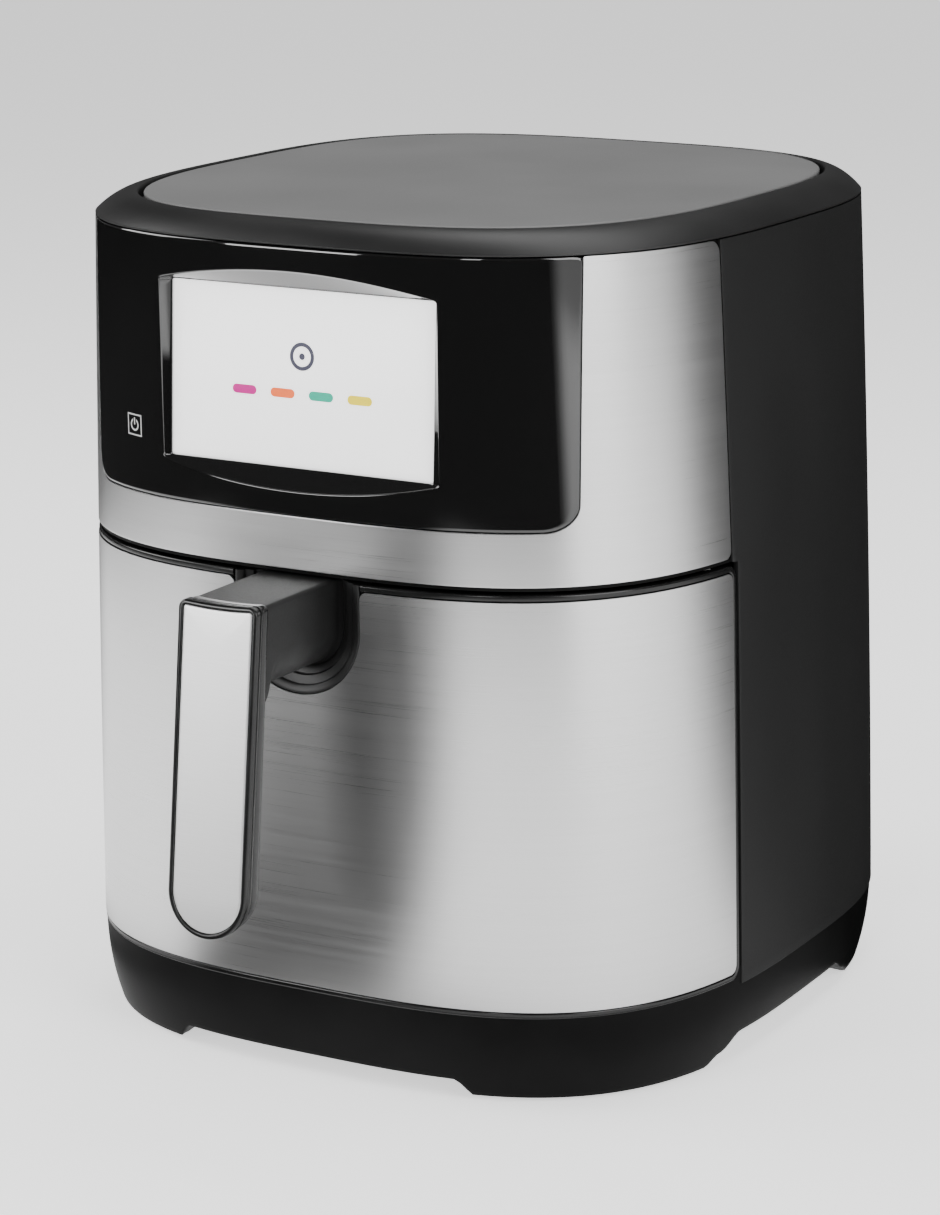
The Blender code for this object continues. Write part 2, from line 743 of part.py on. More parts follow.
def make_screen(parent):
    """The cover glass, the display behind it and its board."""
    half, tall = SCREEN_WIDTH / 2.0, SCREEN_HEIGHT / 2.0
    glass = tilted_plate(half + GLASS_MARGIN, tall + GLASS_MARGIN, 0.0, GLASS_THICKNESS)
    solid("touch_glass", glass, LIT, parent)
    front = GLASS_THICKNESS + GAP
    display = tilted_plate(half + 1.0, tall + 1.0, front, front + LCD_THICKNESS)
    solid("lcd_module", display, ZINC, parent)
    front += LCD_THICKNESS + GAP
    board = tilted_plate(half + 1.0, tall + 6.0, front, front + BOARD_THICKNESS)
    solid("control_board", board, BOARD, parent)


def make_top(parent):
    """The bevelled ring round the top and the lid panel that lies in it."""
    outer = reach(RING_BOTTOM)
    insets = (RING_INSET_SIDE, RING_INSET_FRONT, RING_INSET_BACK)

    def outline(share, z, inset=0.0, steps=ROUND_STEPS):
        sizes = [size - share * step - inset for size, step in zip(outer, insets)]
        angles = [2.0 * math.pi * i / steps for i in range(steps)]
        return [(*plan_point(a, *sizes), z) for a in angles]

    crown = [(0.0, 0.0), (0.06, 0.2), (0.3, 0.56), (0.62, 0.86), (0.93, 1.0), (1.0, 0.97)]
    rings = [outline(share, RING_BOTTOM + rise * TOP_RING_HEIGHT) for share, rise in crown]
    rings.append(outline(1.0, LID_BOTTOM - GAP))
    rings.append(outline(1.0, LID_BOTTOM - GAP, RING_LEDGE))
    rings.append(outline(1.0, LID_BOTTOM - GAP - 1.6, RING_LEDGE))
    rings.append(outline(1.0, LID_BOTTOM - GAP - 1.6))
    rings.append(outline(0.15, RING_BOTTOM))
    solid("top_ring", loft(rings, closed=True), BLACK, parent)
    edge = 0.6
    lid = [
        outline(1.0, LID_BOTTOM, LID_GROOVE),
        outline(1.0, TOP - edge, LID_GROOVE),
        outline(1.0, TOP, LID_GROOVE + edge),
    ]
    solid("top_cover", loft(lid), GREY, parent)


def make_back(parent):
    """The exhaust grille, the duct that feeds it, the lead's bush and the terminal block inside."""
    low, high = GRILLE_BOTTOM, GRILLE_BOTTOM + GRILLE_HEIGHT
    flange = GRILLE_FLANGE
    seat = back_y(GRILLE_HALF_WIDTH + flange, high + flange, WALL) - GAP
    face = back_y(GRILLE_HALF_WIDTH, high) - 0.6
    side = GRILLE_HALF_WIDTH
    plate = block((-side - flange, seat - 2.0, low - flange), (side + flange, seat, high + flange))
    grille = solid("exhaust_grille", plate, BLACK, parent)
    join(grille, "grille_boss", block((-side, seat - 1.0, low), (side, face, high)))
    pitch = GRILLE_HEIGHT / GRILLE_SLOTS
    slots = []
    for i in range(GRILLE_SLOTS):
        z = low + pitch * (i + 0.5)
        gap = GRILLE_SLOT / 2.0
        slots.append(block((-side + 4.0, seat - 10.0, z - gap), (side - 4.0, face + 10.0, z + gap)))
    cut(grille, "grille_slots", *slots)

    duct_side = GRILLE_HALF_WIDTH - 2.0
    start, end = AXIS[1] + CHAMBER_RADIUS + 6.0, seat - 2.0 - GAP
    duct_top = CHAMBER_TOP - 4.0
    duct = solid(
        "air_duct",
        block((-duct_side, start, GRILLE_BOTTOM), (duct_side, end, duct_top)),
        BLACK,
        parent,
    )
    inner = block(
        (-duct_side + SHEET, start - 5.0, GRILLE_BOTTOM + SHEET),
        (duct_side - SHEET, end + 5.0, duct_top - SHEET),
    )
    cut(duct, "duct_passage", inner)

    outside = back_y(0.0, GLAND_HEIGHT) + 2.0 * GAP
    inside = back_y(0.0, GLAND_HEIGHT, WALL) - 2.0 * GAP
    profile = [
        (GLAND_BORE, outside + GLAND_REACH),
        (GLAND_RADIUS, outside + GLAND_REACH),
        (GLAND_RADIUS + 2.5, outside + 0.3 * GLAND_REACH),
        (GLAND_RADIUS + 2.5, outside),
        (GLAND_RADIUS, outside),
        (GLAND_RADIUS, inside),
        (GLAND_RADIUS + 2.0, inside),
        (GLAND_RADIUS + 2.0, inside - 2.5),
        (GLAND_BORE, inside - 2.5),
    ]
    bush = turned(profile, (0.0, GLAND_HEIGHT), 20, 1)
    solid("cord_gland", bush, SILICONE, parent)
    x, y = TERMINAL_PLACE
    side, deep, tall = TERMINAL_SIZE
    low, high = TRAY_FLOOR + GAP, TRAY_FLOOR + tall
    terminal = block((x - side / 2.0, y - deep / 2.0, low), (x + side / 2.0, y + deep / 2.0, high))
    solid("terminal_block", terminal, LIT, parent)


# ---- Inside of the body ------------------------------------------------------------------------------


def bay_plan(half, front, z, radius):
    """Plan of the bay: straight sides from the front edge to a back with round corners."""
    back = PAN_CENTRE_Y + half
    ring = [(-half, front, z), (half, front, z)]
    for start in (0.0, 0.5 * math.pi):
        middle = start + 0.25 * math.pi
        cx = math.copysign(half - radius, math.cos(middle))
        for k in range(9):
            a = start + k * math.pi / 16.0
            ring.append((cx + radius * math.cos(a), back - radius + radius * math.sin(a), z))
    return ring


def make_bay(parent):
    """The sheet-steel tunnel for the drawer, its front surround and the rails under the pan's rim."""
    outer = BAY_HALF + SHEET
    radius = PAN_CORNER + outer - PAN_HALF
    rings = [bay_plan(outer, BAY_FRONT, z, radius) for z in (BAY_FLOOR, CEILING_TOP)]
    bay = solid("drawer_bay", loft(rings), ZINC, parent)
    span = (BAY_FLOOR + SHEET, CEILING_TOP - SHEET)
    room = [bay_plan(BAY_HALF, BAY_FRONT - 10.0, z, radius - SHEET) for z in span]
    cut(bay, "bay_room", loft(room))
    cut(bay, "bay_opening", rod(AXIS, OPENING_RADIUS, span[1] - 5.0, CEILING_TOP + 5.0, 32))

    low, high = DRAWER_BOTTOM, SILL_BOTTOM - GAP
    sill = BAY_FLOOR - GAP
    inner = outer + GAP
    spare = WALL + GAP
    y = SURROUND_FRONT
    heights = levels(low, high, 4)
    outline = [(side_x(y, z, spare), z) for z in heights]
    outline += [(inner, high), (inner, sill), (-inner, sill), (-inner, high)]
    outline += [(-side_x(y, z, spare), z) for z in reversed(heights)]
    surround = prism(outline, SURROUND_FRONT, SURROUND_BACK, 1)
    plate = solid("bay_surround", surround, BLACK, parent)
    hole = rod((SWITCH_X, SWITCH_Z), PLUNGER_RADIUS + GAP, y - 5.0, SURROUND_BACK + 5.0, 16, 1)
    cut(plate, "plunger_hole", hole)

    rail_top = PAN_TOP - PAN_RIM_THICKNESS - GAP
    near, far = PAN_HALF + RAIL_CLEARANCE, BAY_HALF - GAP
    end = PAN_CENTRE_Y + PAN_HALF - PAN_CORNER
    for name, side in (("left", -1.0), ("right", 1.0)):
        x0, x1 = sorted((side * near, side * far))
        rail = block((x0, BAY_FRONT + 1.0, rail_top - RAIL_HEIGHT), (x1, end, rail_top))
        solid(f"guide_rail_{name}", rail, ZINC, parent)


def make_switch(parent, plunger_parent):
    """The switch that feels the closed drawer, and its sprung plunger."""
    back = SURROUND_BACK + GAP
    half = SWITCH_WIDTH / 2.0
    low = (SWITCH_X - half, back, SWITCH_Z - 6.0)
    high = (SWITCH_X + half, back + SWITCH_LENGTH, SWITCH_Z + 6.0)
    body = solid("door_switch", block(low, high), BLACK, parent)
    centre = (SWITCH_X, SWITCH_Z)
    bottom = back + SWITCH_LENGTH - 3.0
    cut(body, "switch_bore", rod(centre, PLUNGER_RADIUS + GAP, back - 5.0, bottom, 16, 1))
    tip = DRAWER_SEAM - SEAM_GAP + GAP
    plunger = rod(centre, PLUNGER_RADIUS, tip, bottom - PLUNGER_TRAVEL - GAP, 16, 1)
    solid("switch_plunger", plunger, LIT, plunger_parent)


def make_chamber(parent):
    """The hot chamber over the bay, with its heater, guard, clips, probe and cut-out."""
    low, high, r = SILL_TOP, CHAMBER_TOP, CHAMBER_RADIUS
    t = CHAMBER_SHEET
    profile = [
        (r + 6.0, low),
        (r + 6.0, low + t),
        (r, low + t),
        (r, high - 4.0),
        (r - 4.0, high),
        (SHAFT_RADIUS + 3.0, high),
        (SHAFT_RADIUS + 3.0, high - t),
        (r - 4.0 - 0.4 * t, high - t),
        (r - t, high - 4.0 - 0.4 * t),
        (r - t, low),
    ]
    chamber = solid("heat_chamber", turned(profile, steps=28), ZINC, parent)
    coil_z = low + COIL_LIFT
    leads = [around(radius, angle) for radius, angle in coil_ends()]
    holes = [rod(spot, COIL_TUBE + 1.0, high - 8.0, high + 4.0, 12) for spot in leads]
    probe_z = low + PROBE_LIFT
    holes.append(prism_rod_x(-r - 10.0, -r + 10.0, probe_z, PROBE_RADIUS + 2.0 * GAP))
    cut(chamber, "chamber_holes", *holes)
    solid("heater_element", tube(coil_path(coil_z, high + 8.0), COIL_TUBE, 6), HEATER, parent)
    near, far = COIL_OUTER + COIL_TUBE + 2.0 * GAP, r - t - 2.0 * GAP
    for i, angle in enumerate((0.0, 200.0, 320.0)):
        clip = []
        side = CLIP_HALF_WIDTH
        for along, across in ((near, -side), (far, -side), (far, side), (near, side)):
            a = math.radians(angle)
            x = AXIS[0] + along * math.cos(a) - across * math.sin(a)
            clip.append((x, AXIS[1] + along * math.sin(a) + across * math.cos(a)))
        low_edge, high_edge = coil_z - CLIP_HALF_HEIGHT, coil_z + CLIP_HALF_HEIGHT
        solid(f"heater_clip_{i + 1}", prism(clip, low_edge, high_edge, 2), ZINC, parent)
    probe = prism_rod_x(-r - 12.0, -r + 22.0, probe_z, PROBE_RADIUS)
    solid("temperature_probe", probe, BRUSHED, parent)
    spot = around(r - CUTOUT_INSET, math.radians(45.0))
    solid("thermal_cutout", rod(spot, CUTOUT_RADIUS, high + GAP, high + 8.0, 16), ZINC, parent)
    make_guard(parent)


def prism_rod_x(low, high, z, radius, steps=12):
    """A rod along X through the fan's axis plane."""
    turns = [2.0 * math.pi * i / steps for i in range(steps)]
    ring = [(AXIS[1] + radius * math.cos(a), z + radius * math.sin(a)) for a in turns]
    return prism(ring, low, high, 0)


def coil_ends():
    """The radius and angle of the heater's two leads, both at the back."""
    return ((COIL_OUTER, math.radians(100.0)), (COIL_INNER, math.radians(80.0)))


def coil_path(z, lead_top):
    """One turn at the outer radius, then one at the inner, with a lead standing up at each end."""
    (outer, start), (inner, end) = coil_ends()
    steps = 40
    sweep = 4.0 * math.pi - (start - end)
    flat = []
    for i in range(steps + 1):
        u = i / steps
        share = min(1.0, max(0.0, (u - 0.46) / 0.08))
        radius = outer + (inner - outer) * share * share * (3.0 - 2.0 * share)
        flat.append((*around(radius, start + sweep * u), z))
    bend = 5.0
    rise = [(bend * (1.0 - math.cos(a)), bend * (1.0 - math.sin(a))) for a in (0.0, 0.5, 1.0)]

    def lead(corner, inward):
        """Points from the lead's top down into the coil's plane."""
        to_coil = Vector((inward[0] - corner[0], inward[1] - corner[1], 0.0)).normalized()
        base = Vector(corner)
        points = [base + Vector((0.0, 0.0, lead_top - z))]
        for along, up in rise:
            points.append(base + to_coil * along + Vector((0.0, 0.0, up)))
        return [tuple(p) for p in points]

    first = lead(flat[0], flat[2])
    last = lead(flat[-1], flat[-3])
    return first + flat[1:-1] + last[::-1]


def make_guard(parent):
    """The slotted plate under the heater."""
    low = CEILING_TOP - SHEET
    disc = rod(AXIS, OPENING_RADIUS - 2.0 * GAP, low, low + GUARD_THICKNESS, 32)
    guard = solid("heater_guard", disc, ZINC, parent)
    slots = []
    for near, far in ((14.0, 44.0), (50.0, OPENING_RADIUS - 8.0)):
        for i in range(6):
            middle = math.radians(60.0 * i)
            half = math.radians(26.0)
            angles = [middle - half + half * k / 2.0 for k in range(5)]
            outline = [around(near, a) for a in angles] + [around(far, a) for a in reversed(angles)]
            slots.append(prism(outline, low - 3.0, low + 5.0, 2))
    cut(guard, "guard_slots", *slots)


def star(radius, hub, blades, thickness):
    """Plan of a paddle fan: thin blades standing out from a round hub."""
    outline = []
    for i in range(blades):
        a = 2.0 * math.pi * i / blades
        along, side = (math.cos(a), math.sin(a)), (-math.sin(a), math.cos(a))
        half = thickness / 2.0
        for distance, offset in ((hub, -half), (radius, -half), (radius, half), (hub, half)):
            x = AXIS[0] + along[0] * distance + side[0] * offset
            outline.append((x, AXIS[1] + along[1] * distance + side[1] * offset))
        outline.append(around(hub, a + math.pi / blades))
    return outline


def make_rotor(parent):
    """The shaft with the hot-air fan, its nut and the cooling fan."""
    low = SILL_TOP + FAN_LIFT
    bore = SHAFT_RADIUS + SHAFT_CLEARANCE
    blades = prism(star(FAN_RADIUS, 12.0, FAN_BLADES, 2.4), low, low + FAN_HEIGHT, 2)
    fan = solid("hot_air_fan", blades, ZINC, parent)
    cut(fan, "fan_bore", rod(AXIS, bore, low - 5.0, low + FAN_HEIGHT + 5.0, 16))
    nut = [(bore, low - GAP - 5.0), (7.0, low - GAP - 5.0), (7.0, low - GAP), (bore, low - GAP)]
    solid("fan_nut", turned(nut, steps=12), ZINC, parent)
    cool = CHAMBER_TOP + COOLING_FAN_LIFT
    top = cool + COOLING_FAN_HEIGHT
    cooler = prism(star(COOLING_FAN_RADIUS, 14.0, FAN_BLADES + 1, 2.0), cool, top, 2)
    cooler = solid("cooling_fan", cooler, BLACK, parent)
    cut(cooler, "cooling_bore", rod(AXIS, bore, cool - 5.0, top + 5.0, 16))
    end = MOTOR_BOTTOM + MOTOR_HEIGHT + 6.0
    solid("fan_shaft", rod(AXIS, SHAFT_RADIUS, low - 8.0, end, 16), BRUSHED, parent)


def make_motor(parent):
    """The motor on a bridge over the cooling fan."""
    foot, leg = COOLING_FAN_RADIUS + 14.0, COOLING_FAN_RADIUS + 4.0
    low, t = CHAMBER_TOP + GAP, BRACKET_SHEET
    high = MOTOR_BOTTOM - GAP
    right = [(foot, low), (foot, low + t), (leg + t, low + t), (leg + t, high)]
    left = [(-x, z) for x, z in reversed(right)]
    under = [(-leg, low), (-leg, high - t), (leg, high - t), (leg, low)]
    bridge = prism(right + left + under, AXIS[1] - 14.0, AXIS[1] + 14.0, 1)
    bracket = solid("motor_bracket", bridge, ZINC, parent)
    cut(bracket, "bracket_hole", rod(AXIS, SHAFT_RADIUS + 4.0, high - 8.0, high + 5.0, 16))
    bore, top = SHAFT_RADIUS + SHAFT_CLEARANCE, MOTOR_BOTTOM + MOTOR_HEIGHT
    profile = [
        (bore, MOTOR_BOTTOM),
        (MOTOR_RADIUS, MOTOR_BOTTOM),
        (MOTOR_RADIUS, top),
        (12.0, top),
        (12.0, top + 3.0),
        (bore, top + 3.0),
    ]
    solid("motor", turned(profile, steps=24), ZINC, parent)


def make_power_board(parent):
    """The power board on the tray's floor, with a relay, a capacitor and a cooling fin."""
    low = TRAY_FLOOR + GAP
    x, y = POWER_BOARD
    plate = block((-x, -y, low), (x, y, low + BOARD_THICKNESS))
    board = solid("power_board", plate, BOARD, parent)
    seat = low + BOARD_THICKNESS - 0.5
    relay = block((-28.0, -30.0, seat), (-8.0, -14.0, seat + 16.0))
    fin = block((8.0, -34.0, seat), (12.0, 10.0, seat + 20.0))
    capacitor = rod((-14.0, 18.0), 8.0, seat, seat + 18.0, 16)
    join(board, "board_parts", relay, fin, capacitor)


# ---- Drawer ------------------------------------------------------------------------------------------


def drawer_edge(_):
    return DRAWER_SEAM - SEAM_GAP


def skin_edge(_):
    return DRAWER_SEAM - SEAM_GAP - SIDE_RIM


def make_drawer_front(parent):
    """The moulded drawer front: a rim all round, a bed for the steel and a socket for the handle."""
    low, high = DRAWER_BOTTOM, DRAWER_TOP
    bed = STEEL + GAP
    back = bed + DRAWER_WALL

    def section(angle_of, sunk):
        """One upright slice of the moulding, where angle_of gives its angle at a height and inset."""
        profile = [(0.0, low), (0.0, low + RIM), (sunk, low + RIM), (sunk, 0.5 * (low + high))]
        profile += [(sunk, high - RIM), (0.0, high - RIM), (0.0, high), (back, high)]
        profile += [(back, low + 2.4), (14.0, low + 2.4), (14.0, low)]
        return [body_point(angle_of(z, inset), z, inset) for inset, z in profile]

    def on_right(seam):
        return lambda z, inset: angle_at(seam(z), z, inset)

    def on_left(seam):
        return lambda z, inset: -math.pi - angle_at(seam(z), z, inset)

    def between(i):
        return lambda z, inset: front_angles(z, inset, skin_edge(z))[i]

    sections = [section(on_left(drawer_edge), 0.0), section(on_left(skin_edge), 0.0)]
    sections += [section(between(i), bed) for i in range(PLAN_STEPS + 1)]
    sections += [section(on_right(skin_edge), 0.0), section(on_right(drawer_edge), 0.0)]
    front = solid("drawer_front", loft(sections), BLACK, parent)
    pad = tongue(ROOT_HALF_WIDTH + SOCKET_WALL, DRAWER_TOP - GAP, ROOT_CENTRE_Z)
    join(front, "handle_socket", prism(pad, ROOT_FACE + bed + 0.5, SOCKET_BACK, 1))
    pocket = tongue(ROOT_HALF_WIDTH, DRAWER_TOP + 10.0, ROOT_CENTRE_Z)
    cut(front, "socket_pocket", prism(pocket, -1.2 * FRONT_REACH, ROOT_SEAT, 1))
    cut(front, "socket_bores", *handle_bores())

    heights = levels(low + RIM + GAP, high - RIM - GAP, 4)
    sheet = [(0.0, z) for z in heights] + [(STEEL, z) for z in reversed(heights)]
    skin = solid("drawer_skin", band(sheet, lambda z: skin_edge(z) - GAP, front_angles), BRUSHED, parent)
    cut(skin, "skin_notch", prism(pocket, -1.2 * FRONT_REACH, -0.8 * FRONT_REACH, 1))


def handle_bores():
    """Clearance holes for the two handle screws, from the bracket into the arm."""
    start = ROOT_SEAT - SCREW_GRIP - 1.0
    end = BRACKET_FRONT + 4.0
    return [rod((0.0, z), SCREW_RADIUS + GAP, start, end, 12, 1) for z in HANDLE_SCREW_Z]


def make_deck(parent):
    """The flat panel that closes the drawer front's top round the pan."""
    low, high = DECK_BOTTOM, DECK_BOTTOM + DECK_THICKNESS
    inset = STEEL + GAP + DRAWER_WALL + GAP
    rings = []
    for z in (low, high):
        rings.append([body_point(a, z, inset) for a in front_angles(z, inset, drawer_edge(z))])
    deck = solid("drawer_deck", loft(rings), BLACK, parent)
    room = PAN_HALF + PAN_RIM + 2.0 * GAP
    hole = rounded_box(room, room, PAN_CORNER + PAN_RIM, AXIS)
    cut(deck, "deck_hole", prism(hole, low - 5.0, high + 5.0, 2))
    pad = tongue(ROOT_HALF_WIDTH + SOCKET_WALL + GAP, DRAWER_TOP, ROOT_CENTRE_Z)
    cut(deck, "deck_notch", prism(pad, -1.2 * FRONT_REACH, SOCKET_BACK + GAP, 1))


def pan_half(z):
    """Half the pan's outer width at a height: its walls draw in towards the floor."""
    return PAN_HALF - PAN_DRAFT * (PAN_TOP - z) / (PAN_TOP - PAN_FLOOR)


def pan_ring(half, z, radius):
    return [(x, y, z) for x, y in rounded_box(half, half, radius, AXIS)]


def make_pan(parent):
    """The coated pan with its rim, and the bracket between it and the drawer front."""
    t = PAN_WALL
    under = PAN_TOP - PAN_RIM_THICKNESS
    curve = 6.0
    bend = 0.3 * curve
    rings = [
        pan_ring(pan_half(PAN_FLOOR) - curve, PAN_FLOOR, PAN_CORNER - curve),
        pan_ring(pan_half(PAN_FLOOR + 2.0) - bend, PAN_FLOOR + 2.0, PAN_CORNER - bend),
        pan_ring(pan_half(PAN_FLOOR + curve), PAN_FLOOR + curve, PAN_CORNER),
        pan_ring(pan_half(under), under, PAN_CORNER),
        pan_ring(PAN_HALF + PAN_RIM, under, PAN_CORNER + PAN_RIM),
        pan_ring(PAN_HALF + PAN_RIM, PAN_TOP, PAN_CORNER + PAN_RIM),
        pan_ring(PAN_HALF - t, PAN_TOP, PAN_CORNER - t),
        pan_ring(pan_half(PAN_FLOOR + curve) - t, PAN_FLOOR + curve, PAN_CORNER - t),
        pan_ring(pan_half(PAN_FLOOR + curve) - t - bend, PAN_FLOOR + t + 2.0, PAN_CORNER - bend),
        pan_ring(pan_half(PAN_FLOOR) - t - curve, PAN_FLOOR + t, PAN_CORNER - curve),
    ]
    solid("pan", loft(rings), COATING, parent)

    low, high = BRACKET_Z
    ends = [(PAN_CENTRE_Y - pan_half(z) - GAP, z) for z in (low, high)]
    outline = [(BRACKET_FRONT, low), ends[0], ends[1], (BRACKET_FRONT, high)]
    bracket = prism(outline, -BRACKET_HALF_WIDTH, BRACKET_HALF_WIDTH, 0)
    bracket = solid("pan_bracket", bracket, ZINC, parent)
    t = BRACKET_SHEET
    room = [
        (BRACKET_FRONT + t, low - 5.0),
        (ends[0][0] - t, low - 5.0),
        (ends[1][0] - t - 1.0, high - t),
        (BRACKET_FRONT + t, high - t),
    ]
    side = BRACKET_HALF_WIDTH - t
    cut(bracket, "bracket_room", prism(room, -side, side, 0))
    cut(bracket, "bracket_bores", *handle_bores())


def grip_front(z):
    """The plane of the grip's face, which comes forward towards the bottom."""
    return -FRONT_REACH - GRIP_REACH - GRIP_LEAN * (GRIP_TOP - z)


def grip_slice(half_width, top, bottom, near, far):
    """A slice of the grip between two depths behind its face, flat above and half round below."""
    outline = tongue(half_width, top, bottom + half_width, 14)
    return loft([[(x, grip_front(z) + depth, z) for x, z in outline] for depth in (near, far)])


def make_handle(parent):
    """The handle: a back half with the arm, a front bezel, a steel inlay and two screws."""
    near = BEZEL_DEPTH + GAP
    step = 0.6
    back = grip_slice(
        GRIP_HALF_WIDTH - step, GRIP_TOP - step, GRIP_BOTTOM + step, near, near + GRIP_BACK_DEPTH
    )
    body = solid("handle_body", back, BLACK, parent)
    root = ROOT_SEAT - GAP
    arm = tongue(ARM_HALF_WIDTH, DRAWER_TOP + 0.5, ROOT_CENTRE_Z, 14)
    join(body, "handle_arm", prism(arm, grip_front(GRIP_TOP) + near + 1.0, root, 1))
    cut(body, "arm_bores", *handle_bores())

    bezel = grip_slice(GRIP_HALF_WIDTH, GRIP_TOP, GRIP_BOTTOM, 0.0, BEZEL_DEPTH)
    bezel = solid("handle_bezel", bezel, BLACK, parent)
    m = INLAY_MARGIN
    inlay = (GRIP_HALF_WIDTH - m, GRIP_TOP - m, GRIP_BOTTOM + m)
    bed = 0.2 + INLAY_THICKNESS + GAP
    wider = (inlay[0] + GAP, inlay[1] + GAP, inlay[2] - GAP)
    cut(bezel, "inlay_bed", grip_slice(*wider, -5.0, bed))
    plate = grip_slice(*inlay, 0.2, 0.2 + INLAY_THICKNESS)
    solid("handle_inlay", plate, BRUSHED, parent)

    end = ROOT_SEAT - SCREW_GRIP
    seat = BRACKET_FRONT + BRACKET_SHEET + GAP
    for name, z in zip(("lower", "upper"), HANDLE_SCREW_Z):
        profile = [
            (0.0, end),
            (SCREW_RADIUS, end),
            (SCREW_RADIUS, seat),
            (SCREW_HEAD_RADIUS, seat),
            (SCREW_HEAD_RADIUS, seat + SCREW_HEAD_DEPTH),
            (0.0, seat + SCREW_HEAD_DEPTH),
        ]
        solid(f"handle_screw_{name}", turned(profile, (0.0, z), 12, 1), ZINC, parent)


def make_plate(parent):
    """The perforated crisper plate on its four bumpers."""
    low = PAN_FLOOR + PAN_WALL + PLATE_LIFT
    half = pan_half(low) - PAN_WALL - PLATE_GAP
    outline = rounded_box(half, half, PAN_CORNER - PAN_WALL - PLATE_GAP, AXIS)
    plate = solid("crisper_plate", prism(outline, low, low + PLATE_THICKNESS, 2), COATING, parent)
    places = levels(PLATE_HOLE_EDGE - half, half - PLATE_HOLE_EDGE, PLATE_HOLES_ACROSS)
    spots = [(AXIS[0] + x, AXIS[1] + y) for x in places for y in places]
    holes = [rod(spot, PLATE_HOLE, low - 3.0, low + 5.0, 6) for spot in spots]
    cut(plate, "plate_holes", *holes)
    floor = PAN_FLOOR + PAN_WALL + GAP
    spread = half - BUMPER_INSET
    for end, sy in (("front", -1.0), ("rear", 1.0)):
        for side, sx in (("left", -1.0), ("right", 1.0)):
            spot = (AXIS[0] + sx * spread, AXIS[1] + sy * spread)
            bumper = rod(spot, BUMPER_RADIUS, floor, low - GAP, 12)
            solid(f"plate_bumper_{end}_{side}", bumper, SILICONE, parent)


def centre_on_footprint(frame):
    """Slide the whole model along Y so that the origin is the middle of its footprint."""
    bpy.context.view_layer.update()
    ends = []
    for obj in bpy.data.objects:
        if obj.type == "MESH" and not obj.hide_render:
            ends += [(obj.matrix_world @ vertex.co).y for vertex in obj.data.vertices]
    frame.location.y = -0.5 * (min(ends) + max(ends))


def main():
    clear_scene()
    frame = pivot("air_fryer_frame", (0.0, 0.0, 0.0), None)
    drawer = pivot("drawer_slide_axis", (0.0, 0.0, DRAWER_BOTTOM), frame)
    plate = pivot("plate_lift_axis", (AXIS[0], AXIS[1], PAN_FLOOR), drawer)
    rotor = pivot("fan_axis", (AXIS[0], AXIS[1], CHAMBER_TOP), frame)
    plunger = pivot("plunger_axis", (SWITCH_X, SURROUND_FRONT, SWITCH_Z), frame)
    make_base(frame)
    make_feet(frame)
    make_housing(frame)
    make_fascia(frame)
    make_panel(frame)
    make_screen(frame)
    make_top(frame)
    make_back(frame)
    make_bay(frame)
    make_switch(frame, plunger)
    make_chamber(frame)
    make_motor(frame)
    make_power_board(frame)
    make_rotor(rotor)
    make_drawer_front(drawer)
    make_deck(drawer)
    make_pan(drawer)
    make_handle(drawer)
    make_plate(plate)
    centre_on_footprint(frame)


main()
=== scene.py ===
"""Detailed surfaces, finishes and studio stage of the countertop air fryer.

Every surface is worked out with numpy in the body's own frame, in metres: +X to the right, -Y to the
front, +Z up, with the plan's centre on the Z axis. make_piece moves it into the model's frame.
"""

import json
import math

import bpy
import numpy as np
from bpy.props import FloatProperty, FloatVectorProperty, PointerProperty
from bpy.types import Operator, Panel, PropertyGroup
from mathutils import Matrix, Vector


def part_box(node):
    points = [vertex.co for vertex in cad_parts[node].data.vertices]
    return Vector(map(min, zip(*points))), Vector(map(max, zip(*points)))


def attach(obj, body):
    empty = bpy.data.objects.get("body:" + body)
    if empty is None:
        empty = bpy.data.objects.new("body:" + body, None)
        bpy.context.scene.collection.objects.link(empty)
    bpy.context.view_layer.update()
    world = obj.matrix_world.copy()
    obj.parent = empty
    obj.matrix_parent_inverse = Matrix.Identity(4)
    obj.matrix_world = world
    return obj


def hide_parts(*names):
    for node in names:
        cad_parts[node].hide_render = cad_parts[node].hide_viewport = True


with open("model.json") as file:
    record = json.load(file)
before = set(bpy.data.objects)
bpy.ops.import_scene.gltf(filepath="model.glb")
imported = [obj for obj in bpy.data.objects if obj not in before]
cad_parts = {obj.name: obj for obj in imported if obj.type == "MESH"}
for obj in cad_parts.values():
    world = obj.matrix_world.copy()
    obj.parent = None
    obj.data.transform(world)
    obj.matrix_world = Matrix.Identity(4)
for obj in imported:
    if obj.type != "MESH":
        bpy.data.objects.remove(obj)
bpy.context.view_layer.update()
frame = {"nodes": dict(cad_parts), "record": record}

bl_info = {
    "name": "Countertop Air Fryer",
    "version": (1, 0, 0),
    "blender": (4, 5, 0),
    "location": "3D View > Sidebar > Air Fryer",
    "description": "Builds the surfaces, finishes and studio stage of a countertop air fryer",
    "category": "Object",
}

MM = 0.001
NODES = frame["nodes"]

# ---- The body's shape ----------------------------------------------------------------------------------

# The plan is a superellipse whose reach to the side, front and back changes a little with height.
PLAN_EXPONENT = 3.07
HALF_WIDTH, FRONT_REACH, BACK_REACH = 141.46 * MM, 161.7 * MM, 140.0 * MM
SIDE_LEAN = (-4.86 * MM, -0.78 * MM)
FRONT_LEAN = (3.14 * MM, -0.26 * MM)
BACK_LEAN = (-6.82 * MM, -1.36 * MM)
LEAN_HEIGHT, LEAN_SPAN = 200.0 * MM, 150.0 * MM


